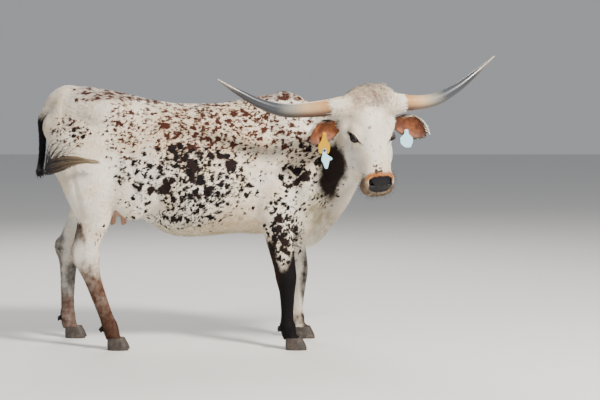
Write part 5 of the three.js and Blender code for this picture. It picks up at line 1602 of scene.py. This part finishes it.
def claw(name, x, y, turn):
    """One claw: pointed in front, round at the heel, with shallow growth rings round its wall."""
    angle = np.linspace(0, 2 * np.pi, 40, endpoint=False)
    rings, heights = [], []
    for t in np.linspace(0, 1, 16):
        scale = taper_at(CLAW_LEVELS, t) * (1 + 0.006 * math.sin(t * 40)) - (0.05 if t == 0 else 0)
        shift = -11 * t
        long = np.cos(angle) * np.where(np.cos(angle) > 0, 0.6, 0.4) * CLAW_LENGTH * scale
        wide = np.sin(angle) * 0.5 * CLAW_WIDTH * scale
        c, s = math.cos(turn), math.sin(turn)
        rings.append(np.column_stack([x + shift + long * c - wide * s, y + long * s + wide * c,
                                      np.full(len(angle), t * (HOOF_HEIGHT - 0.5))]))
        heights.append(np.full(len(angle), t))
    points, faces = loft(rings)
    piece = outward(new_mesh(f"claw_{name}", points, faces))
    growth = 0.5 + 0.5 * np.sin(np.concatenate(heights) * 42)
    set_values(piece.data, "rings", np.concatenate([growth, [0.5, 0.5]]))
    return finished(piece, "hoof", hoof_finish, name)


for pair, all_joints in (("hind", HIND_JOINTS), ("fore", FORE_JOINTS)):
    for which, sign in SIDES.items():
        x, y, _ = all_joints[which][-1]
        for name, apart in (("inner", -sign), ("outer", sign)):
            claw(f"{pair}_hoof_{which}_{name}", x + 14, y + apart * 25, apart * 0.05)


# Longer hair: the curls of the poll, the ruffs round the horns, and fringes under the body and on the legs
def on_skin(count, rng, weight):
    """Places on the skin, more of them where the weight is higher, with the skin's normals there."""
    middles = skin_points[skin_triangles].mean(1)
    count = count
    places, chosen = scatter(skin_points, skin_triangles, count, rng, weight(middles))
    return places, unit(skin_normals[skin_triangles[chosen]].mean(1))


def poll_weight(points):
    a, n, l = on_face(points)
    crown = smooth(62, 0, a + 0.12 * np.abs(l - 20)) * smooth(175, 130, np.abs(l))
    return crown * (n > -120) * (flat_head(points) > 0)


def poll_hair():
    rng = np.random.default_rng(41)
    places, normals = on_skin(2300, rng, poll_weight)
    a, _, l = on_face(places)
    crown = smooth(30, -45, a)[:, None]
    lies = mix(down_face + out_of_face * 0.15, out_of_face * 0.75 + down_face * 0.35, crown)
    lies = lies + side * (np.sin(l / 19.0) * 0.5 + (l - 26) / 150)[:, None] + normals * 0.42
    swirl = rng.normal(0, 0.3, len(places))
    roots = turned(Roots(places, normals, lies), swirl)
    roots.lies = unit(roots.lies + normals * (0.15 + 0.35 * crown))
    length = 28 + 24 * crown[:, 0] * smooth(130, 60, np.abs(l - 26))
    parts = [(roots, locks(roots, length, 6.0, down_face * 0.55, rng, steps=7, wave=0.24, turns=1.5))]

    places, normals = on_skin(2600, rng, ruff_weight)
    l = on_face(places)[2]
    lies = side * np.sign(l)[:, None] + normals * 0.16 - UP * 0.06
    roots = turned(Roots(places, normals, lies), rng.normal(0, 0.16, len(places)))
    roots.lies = unit(roots.lies + normals * 0.16)
    near = np.where(l < 0, 40.0, 28.0) * rng.uniform(0.6, 1.08, len(l))
    parts.append((roots, locks(roots, near, 3.4, side * 0.02 - UP * 0.06, rng, wave=0.05)))
    hair_piece("poll_hair", parts, unwrap_head, coat_finish, "coat", rng)


def ruff_weight(points):
    a, _, l = on_face(points)
    return smooth(128, 150, np.abs(l)) * (np.abs(l) < 200) * (np.abs(a) < 90) * (flat_head(points) > 0)


poll_hair()


def fringe_weight(points):
    """Where the coat hangs a little longer: the belly, the brisket, the backs of the thighs, the rims of the
    hooves and the line of the back."""
    x, y, z = points.T
    belly = smooth(625, 590, z) * (x > -420) * (x < 330) * (np.abs(y) < 120)
    brisket = smooth(560, 600, x) * smooth(800, 640, z) * (x < 900) * (z > 470)
    behind = smooth(-600, -660, x) * (z > 560) * smooth(1000, 800, z)
    coronet = smooth(96, 78, z) * (z > HOOF_HEIGHT + 2) * 1.2
    topline = smooth(1285, 1310, z) * (x < 560) * (x > -700) * (np.abs(y) < 60) * 0.35
    off_head = flat_head(points) < 0
    return (belly * 0.4 + brisket * 0.6 + behind * 0.3 + coronet + topline) * off_head


def fringes():
    rng = np.random.default_rng(42)
    places, normals = on_skin(5200, rng, fringe_weight)
    lies = lie_of(places, normals) + normals * 0.22
    roots = turned(Roots(places, normals, lies), rng.normal(0, 0.25, len(places)))
    roots.lies = unit(roots.lies + normals * 0.14)
    low = places[:, 2] < 130
    length = np.where(low, 15.0, 27.0)
    made = locks(roots, length, np.where(low, 3.6, 4.6), -UP * 0.35, rng, steps=4, wave=0.05)
    hair_piece("fringes", [(roots, made)], unwrap_body, coat_finish, "coat", rng)


fringes()


# The switch of the tail, blown forward beside the thigh
SWITCH = [(-764, -300, 928), (-730, -318, 948), (-670, -330, 966), (-590, -338, 982), (-520, -335, 978)]


def switch_material():
    """Dark where it leaves the tail, olive brown, and blond at the end."""
    finish = Finish("switch")
    along = finish.attribute("along")
    tint = finish.attribute("tint")
    place = along + (tint - 0.5) * 0.45
    colour = finish.ramp(place, [
        (0, (0.012, 0.01, 0.012)), (0.25, (0.022, 0.017, 0.016)), (0.5, (0.07, 0.048, 0.03)),
        (0.72, (0.2, 0.14, 0.08)), (0.9, (0.42, 0.32, 0.2)), (1, (0.58, 0.49, 0.35)),
    ])
    light = finish.node("ShaderNodeHueSaturation", {}, {"Value": tint * 0.5 + 0.75, "Color": colour})
    return finish.done(Base_Color=light, Roughness=0.55, Specular_IOR_Level=0.4)


def switch():
    rng = np.random.default_rng(43)
    count = 2300
    curve = Path(clear_of(SWITCH, 40))
    start = rng.uniform(0, 1, count) ** 1.3 * 0.5
    reach = rng.uniform(0.34, 0.72, count)
    offset = rng.normal(0, 1, (count, 2)) * (0.45, 1)
    wisp = (rng.random(count) < 0.014) * rng.uniform(0.4, 1.0, count)
    phase = rng.uniform(0, 2 * np.pi, count)
    spine = []
    steps = 9
    for t in np.linspace(0, 1, steps + 1):
        along = start + reach * t
        beyond = np.maximum(along - 1, 0)[:, None] * np.array([260, 6, -40])
        spread = mix(8, 12, smooth(0.02, 0.3, along)) * mix(1, 0.28, smooth(0.35, 1.0, along))
        swing = 5 * np.sin(phase + t * 5.5) * t
        rise = 105 * wisp * np.sin(t * 2.2)
        spine.append(curve.at(np.minimum(along, 1)) + beyond
                     + np.column_stack([-wisp * 25 * t, offset[:, 0] * spread * 0.8 + swing * 0.6,
                                        offset[:, 1] * spread + swing + rise]))
    spine = [clear_of(ring, 12) for ring in spine]
    across = np.tile(-LEFT, (count, 1))
    roots = Roots(spine[0], across, spine[1] - spine[0])
    width = rng.uniform(2.6, 5.2, count)
    made = strands(spine, width, across, thick=0.6)
    piece = hair_piece("switch_hair", [(roots, made)], unwrapper(tail_tube), switch_material(), "switch", rng,
                       0.35, "tail_switch")
    t = np.tile(np.linspace(0, 1, steps + 1).repeat(3), count)
    set_values(piece.data, "along", start.repeat(3 * (steps + 1)) * 0.75 + t * 0.55)


switch()


# Udder: a bag of four quarters with a teat on each
UDDER_AT = np.array([-420.0, 0.0, 742.0])
UDDER_RADII = (92, 84, 70)
# Each teat from its root down: how far out it has spread, how low it hangs and its radius
TEAT_STATIONS = [(1, -40, 15), (1.1, -72, 12.5), (1.15, -104, 9.5)]
teat_tubes = []
for dx, dy in ((-36, -30), (-36, 30), (14, -30), (14, 30)):
    stations = [(UDDER_AT[0] + dx * spread, dy * (1 + (spread - 1) * 1.4), UDDER_AT[2] + low, size, size)
                for spread, low, size in TEAT_STATIONS]
    teat_tubes.append(Tube(stations, height=(1, 0, 0), caps=(12, 8), join=12))


def udder_field(points):
    bag = ellipsoid((*UDDER_AT, *UDDER_RADII), points)
    folds = 3.0 * np.exp(-(np.abs(points[:, 1]) / 9) ** 2) * smooth(750, 690, points[:, 2])
    d = bag + folds + 1.0
    for tube in teat_tubes:
        d = blend(d, tube.distance(points), tube.join)
    return d


def udder_material():
    finish = Finish("udder")
    place = finish.place()
    blotch = finish.noise(place, 14.0, 4.0, 0.6)
    colour = finish.ramp(blotch, [
        (0.3, (0.3, 0.15, 0.09)), (0.55, (0.4, 0.24, 0.16)), (0.75, (0.22, 0.1, 0.055)),
    ])
    wrinkles = finish.noise(place, 120.0, 4.0, 0.65)
    return finish.done(Base_Color=colour, Roughness=0.55, Subsurface_Weight=0.08,
                       Normal=finish.bump(wrinkles, 0.5, 0.0018))


udder_points, udder_quads = net(udder_field, (-540, -110, 590), (-310, 110, 830), 6.0)
udder_points = settle(udder_points, udder_field)
finished(new_mesh("udder_piece", udder_points, udder_quads.tolist()), "udder", udder_material(), "udder")


# Ear tags: plates with rounded edges on pins, and a dark stud that joins two of them
TAG_THICKNESS, PLATE_FRONT, PIN_BACK = 2.4, 14.0, -30.0
PANEL = [(-9, 12), (9, 12), (11, -14), (18, -32), (30, -46), (30, -76), (22, -96), (0, -88),
         (-22, -96), (-30, -76), (-30, -46), (-18, -32), (-11, -14)]
FOB = [(-9, 9), (9, 9), (10, -16), (22, -26), (42, -38), (40, -48), (26, -50), (24, -64), (16, -92),
       (4, -92), (-8, -62), (-17, -48), (-12, -26), (-10, -12)]
HOUSE = [(-9, 10), (9, 10), (12, -12), (36, -34), (34, -58), (24, -82), (-6, -82), (-30, -64),
         (-34, -34), (-12, -12)]
TAG_AT = {"right": from_level(-231, -30, -135), "left": from_level(205, -30, -150)}
STUD_AT = TAG_AT["right"] - UP * 78


def from_tag(at, x, z, out):
    return at + level_side * x + UP * z + forward * out


def rounded_outline(outline):
    """An outline with its corners cut into short bends."""
    outline = np.array(outline, float)
    before, after = np.roll(outline, 1, 0), np.roll(outline, -1, 0)
    rows = []
    for corner, a, b in zip(outline, before, after):
        cut = min(5.0, np.linalg.norm(a - corner) * 0.4, np.linalg.norm(b - corner) * 0.4)
        first, last = corner + unit(a - corner) * cut, corner + unit(b - corner) * cut
        rows += [first, mix(mix(first, corner, 0.5), mix(corner, last, 0.5), 0.5), last]
    return np.array(rows)


def plate(outline, at, front):
    """Rings through a plate whose rims are slightly rounded, and faces that close it front and back."""
    flat = rounded_outline(outline)
    ahead = np.roll(flat, -1, 0) - np.roll(flat, 1, 0)
    inward = unit(np.column_stack([-ahead[:, 1], ahead[:, 0]]))
    middle = flat.mean(0)
    inward *= np.where(((middle - flat) * inward).sum(1) < 0, -1, 1)[:, None]
    rings = []
    for inset, out in ((0.7, 0), (0.1, 0.5), (0.1, TAG_THICKNESS - 0.5), (0.7, TAG_THICKNESS)):
        ring = flat + inward * inset
        bow = 0.5 * np.cos(ring[:, 1] / 30)
        rings.append([from_tag(at, x, z, front + out + b - 0.5) for (x, z), b in zip(ring, bow)])
    count = len(flat)
    faces = [tuple(range(count)), tuple(range(3 * count, 4 * count))]
    for r in range(3):
        faces += band(r, count)
    return np.array(rings).reshape(-1, 3), faces


def round_pin(at, stations):
    """A turned pin through a tag: radius and place along it."""
    angle = np.linspace(0, 2 * np.pi, 24, endpoint=False)
    rings = [[from_tag(at, r * math.cos(q), r * math.sin(q), out) for q in angle] for r, out in stations]
    return loft(rings)


def joined(parts):
    points, faces = [], []
    offset = 0
    for own_points, own_faces in parts:
        faces += [tuple(k + offset for k in face) for face in own_faces]
        points.append(own_points)
        offset += len(own_points)
    return np.vstack(points), faces


def plastic(name, colour, worn):
    finish = Finish(name)
    place = finish.place()
    dirt = finish.noise(place, 60.0, 4.0, 0.65)
    shade = finish.mix(dirt.step(0.5, 0.75) * 0.35, colour, worn)
    return finish.done(Base_Color=shade, Roughness=0.4 + dirt * 0.2, Specular_IOR_Level=0.25,
                       Normal=finish.bump(dirt, 0.15, 0.001))


YELLOW = plastic("yellow_tag", (0.5, 0.265, 0.0), (0.36, 0.18, 0.004))
PALE = plastic("pale_tag", (0.4, 0.7, 0.84), (0.6, 0.66, 0.6))
STUD = plastic("stud", (0.02, 0.025, 0.05), (0.08, 0.08, 0.1))
PIN = [(3, PLATE_FRONT + 1), (3, PIN_BACK), (9.5, PIN_BACK), (11, PIN_BACK - 1), (9, PIN_BACK - 2)]
KNOB = [(3.5, PLATE_FRONT + 1), (8, PLATE_FRONT + 2.4), (8, PLATE_FRONT + 3), (5, PLATE_FRONT + 4)]
for node, outline, at, front, finish, extra in (
    ("ear_tag_yellow", PANEL, TAG_AT["right"], PLATE_FRONT, YELLOW, [PIN, KNOB]),
    ("ear_tag_white", FOB, STUD_AT, PLATE_FRONT + TAG_THICKNESS + 0.35, PALE, []),
    ("ear_tag_blue", HOUSE, TAG_AT["left"], PLATE_FRONT, PALE, [PIN, KNOB]),
):
    points, faces = joined([plate(outline, at, front), *(round_pin(at, rows) for rows in extra)])
    tag = outward(new_mesh(f"{node}_piece", points, faces, False))
    finished(tag, "yellow_tag" if "yellow" in node else "white_tag", finish, node)
front = PLATE_FRONT + 2 * TAG_THICKNESS + 0.7
points, faces = round_pin(STUD_AT, [
    (5, PLATE_FRONT - 2.5), (6, PLATE_FRONT - 1.4), (3, PLATE_FRONT - 0.4), (3, front),
    (7, front), (7.4, front + 1), (6.4, front + 2.2), (3, front + 2.6),
])
finished(outward(new_mesh("ear_tag_stud_piece", points, faces)), "stud", STUD, "ear_tag_stud")


# Eyelashes, from the edge of the upper lid
def lash_material():
    return Finish("lashes").done(Base_Color=(0.03, 0.024, 0.022), Roughness=0.5)


def lashes(which, material):
    rng = np.random.default_rng(51 if which == "left" else 52)
    gaze, long, high = EYE_AXES[which]
    upper = 1 if high @ head_up > 0 else -1
    count = 110
    turn = rng.uniform(0.12, 0.88, count) * np.pi * upper
    towards = from_gaze(which, eye_opening(turn) * 1.06, turn)
    places = EYE_CENTRES[which] + towards * (EYE_RADIUS + LID_THICKNESS)
    lies = gaze * 0.8 + high * upper * 0.2 - long * 0.2 + down_face * 0.35
    roots = Roots(places, towards, lies + towards * 0.2)
    roots.lies = np.tile(unit(lies), (count, 1))
    made = locks(roots, 13.0, 0.9, down_face * 0.3 + gaze * 0.1, rng, steps=4)
    hair_piece(f"lashes_{which}", [(roots, made)], unwrap_head, material, "coat", rng)


lash_finish = lash_material()
for which in SIDES:
    lashes(which, lash_finish)


# Whiskers: thin bristles strewn over the lips and chin by a node tree, lengths in metres
WHISKER_LENGTH = 0.03
WHISKER_RADIUS = 0.0004
BRISTLE_CORNERS = 16


def muzzle_patch():
    """A copy of the skin round the lips and chin, for the whiskers to grow from."""
    middles = skin_points[skin_triangles].mean(1)
    a, n, _ = on_face(middles)
    chosen = (a > 352) & (flat_head(middles) > 0) & (n < 6) & (pad_share(middles) < 0.05)
    return new_mesh("whisker_patch", skin_points, skin_triangles[chosen].tolist())


def whisker_tree(material):
    tree = bpy.data.node_groups.new("whiskers", "GeometryNodeTree")
    tree.interface.new_socket("Geometry", in_out="INPUT", socket_type="NodeSocketGeometry")
    for name in ("Density", "Length", "Radius"):
        tree.interface.new_socket(name, in_out="INPUT", socket_type="NodeSocketFloat")
    tree.interface.new_socket("Seed", in_out="INPUT", socket_type="NodeSocketInt")
    tree.interface.new_socket("Geometry", in_out="OUTPUT", socket_type="NodeSocketGeometry")

    def add(kind, links=None, **settings):
        made = tree.nodes.new(kind)
        for key, value in settings.items():
            setattr(made, key, value)
        for key, value in (links or {}).items():
            if isinstance(value, bpy.types.NodeSocket):
                tree.links.new(value, made.inputs[key])
            else:
                made.inputs[key].default_value = value
        return made

    given = add("NodeGroupInput").outputs
    spots = add("GeometryNodeDistributePointsOnFaces",
                {"Mesh": given["Geometry"], "Density": given["Density"], "Seed": given["Seed"]})
    bristle = add("GeometryNodeMeshCone", {"Vertices": 4, "Side Segments": 3, "Radius Top": 0.00005,
                                           "Radius Bottom": given["Radius"], "Depth": given["Length"]})
    size = add("FunctionNodeRandomValue", {2: 0.4, 3: 1.2, "Seed": given["Seed"]}, data_type="FLOAT")
    strewn = add("GeometryNodeInstanceOnPoints",
                 {"Points": spots.outputs["Points"], "Instance": bristle.outputs["Mesh"],
                  "Rotation": spots.outputs["Rotation"], "Scale": size.outputs[1]})
    plain = add("GeometryNodeRealizeInstances", {"Geometry": strewn.outputs["Instances"]})
    coloured = add("GeometryNodeSetMaterial", {"Geometry": plain.outputs["Geometry"], "Material": material})
    add("NodeGroupOutput", {"Geometry": coloured.outputs["Geometry"]})
    return tree


def whiskers(material):
    patch = muzzle_patch()
    tree = whisker_tree(material)
    modifier = patch.modifiers.new("whiskers", "NODES")
    modifier.node_group = tree
    values = {"Density": 9000.0, "Length": WHISKER_LENGTH, "Radius": WHISKER_RADIUS, "Seed": 5}
    for item in tree.interface.items_tree:
        if item.in_out == "INPUT" and item.name in values:
            modifier[item.identifier] = values[item.name]
    evaluated = patch.evaluated_get(bpy.context.evaluated_depsgraph_get())
    mesh = bpy.data.meshes.new_from_object(evaluated)
    patch.modifiers.remove(modifier)
    bpy.data.objects.remove(patch)
    mesh.name = "whiskers"
    corners = np.zeros(len(mesh.vertices) * 3, np.float32)
    mesh.vertices.foreach_get("co", corners)
    corners = corners.reshape(-1, 3) * METRE - SHIFT
    roots = corners.reshape(-1, BRISTLE_CORNERS, 3).mean(1).repeat(BRISTLE_CORNERS, 0)
    spread = (corners - roots) @ np.column_stack([side, down_face]) / (WHISKER_LENGTH * METRE) * UV_PATCH
    owner = np.zeros(len(mesh.loops), np.int32)
    mesh.loops.foreach_get("vertex_index", owner)
    for layer in list(mesh.uv_layers):
        mesh.uv_layers.remove(layer)
    uv = mesh.uv_layers.new(name="OFBake")
    uv.data.foreach_set("uv", (unwrap_head(roots) + spread)[owner].astype(np.float32).ravel())
    piece = bpy.data.objects.new("whiskers", mesh)
    bpy.context.scene.collection.objects.link(piece)
    return finished(piece, "coat", material)


whiskers(lash_finish)


# Stage: a plain pale floor, soft light and the camera
floor_finish = Finish("floor").done(Base_Color=(0.72, 0.71, 0.69), Roughness=0.9)
FLOOR_HALF = 30.0
floor_mesh = bpy.data.meshes.new("floor")
floor_mesh.from_pydata([(x * FLOOR_HALF, y * FLOOR_HALF, 0) for x, y in ((-1, -1), (1, -1), (1, 1), (-1, 1))],
                       [], [(0, 1, 2, 3)])
floor = bpy.data.objects.new("floor", floor_mesh)
floor_mesh.materials.append(floor_finish)
bpy.context.scene.collection.objects.link(floor)

world = bpy.data.worlds.new("studio")
bpy.context.scene.world = world
world.use_nodes = True
sky = world.node_tree.nodes["Background"].inputs
sky["Color"].default_value = (0.9, 0.93, 0.98, 1)
sky["Strength"].default_value = 0.38


LIGHTS_AIM = Vector((0, 0, 0.9))


def soft_light(name, place, size, power, colour):
    lamp = bpy.data.lights.new(name, "AREA")
    lamp.size = size
    lamp.energy = power
    lamp.color = colour
    thing = bpy.data.objects.new(name, lamp)
    thing.location = place
    thing.rotation_euler = (LIGHTS_AIM - Vector(place)).to_track_quat("-Z", "Y").to_euler()
    bpy.context.scene.collection.objects.link(thing)


soft_light("key_light", (3.7, -4.0, 5.4), 1.2, 1120, (1, 0.95, 0.87))
soft_light("fill_light", (-4.5, -3.5, 3.0), 4.0, 70, (0.9, 0.95, 1))
soft_light("back_light", (-1.5, 4.5, 5.0), 3.0, 260, (1, 0.98, 0.95))

CAMERA_AT = (0.18015, -7.41118, 1.253)
CAMERA_DOWN = math.radians(3.75)
camera_data = bpy.data.cameras.new("camera")
camera_data.lens = 85.5
camera_data.sensor_width = 36
camera = bpy.data.objects.new("camera", camera_data)
camera.location = CAMERA_AT
camera.rotation_euler = (math.radians(90) - CAMERA_DOWN, 0, 0)
bpy.context.scene.collection.objects.link(camera)
bpy.context.scene.camera = camera
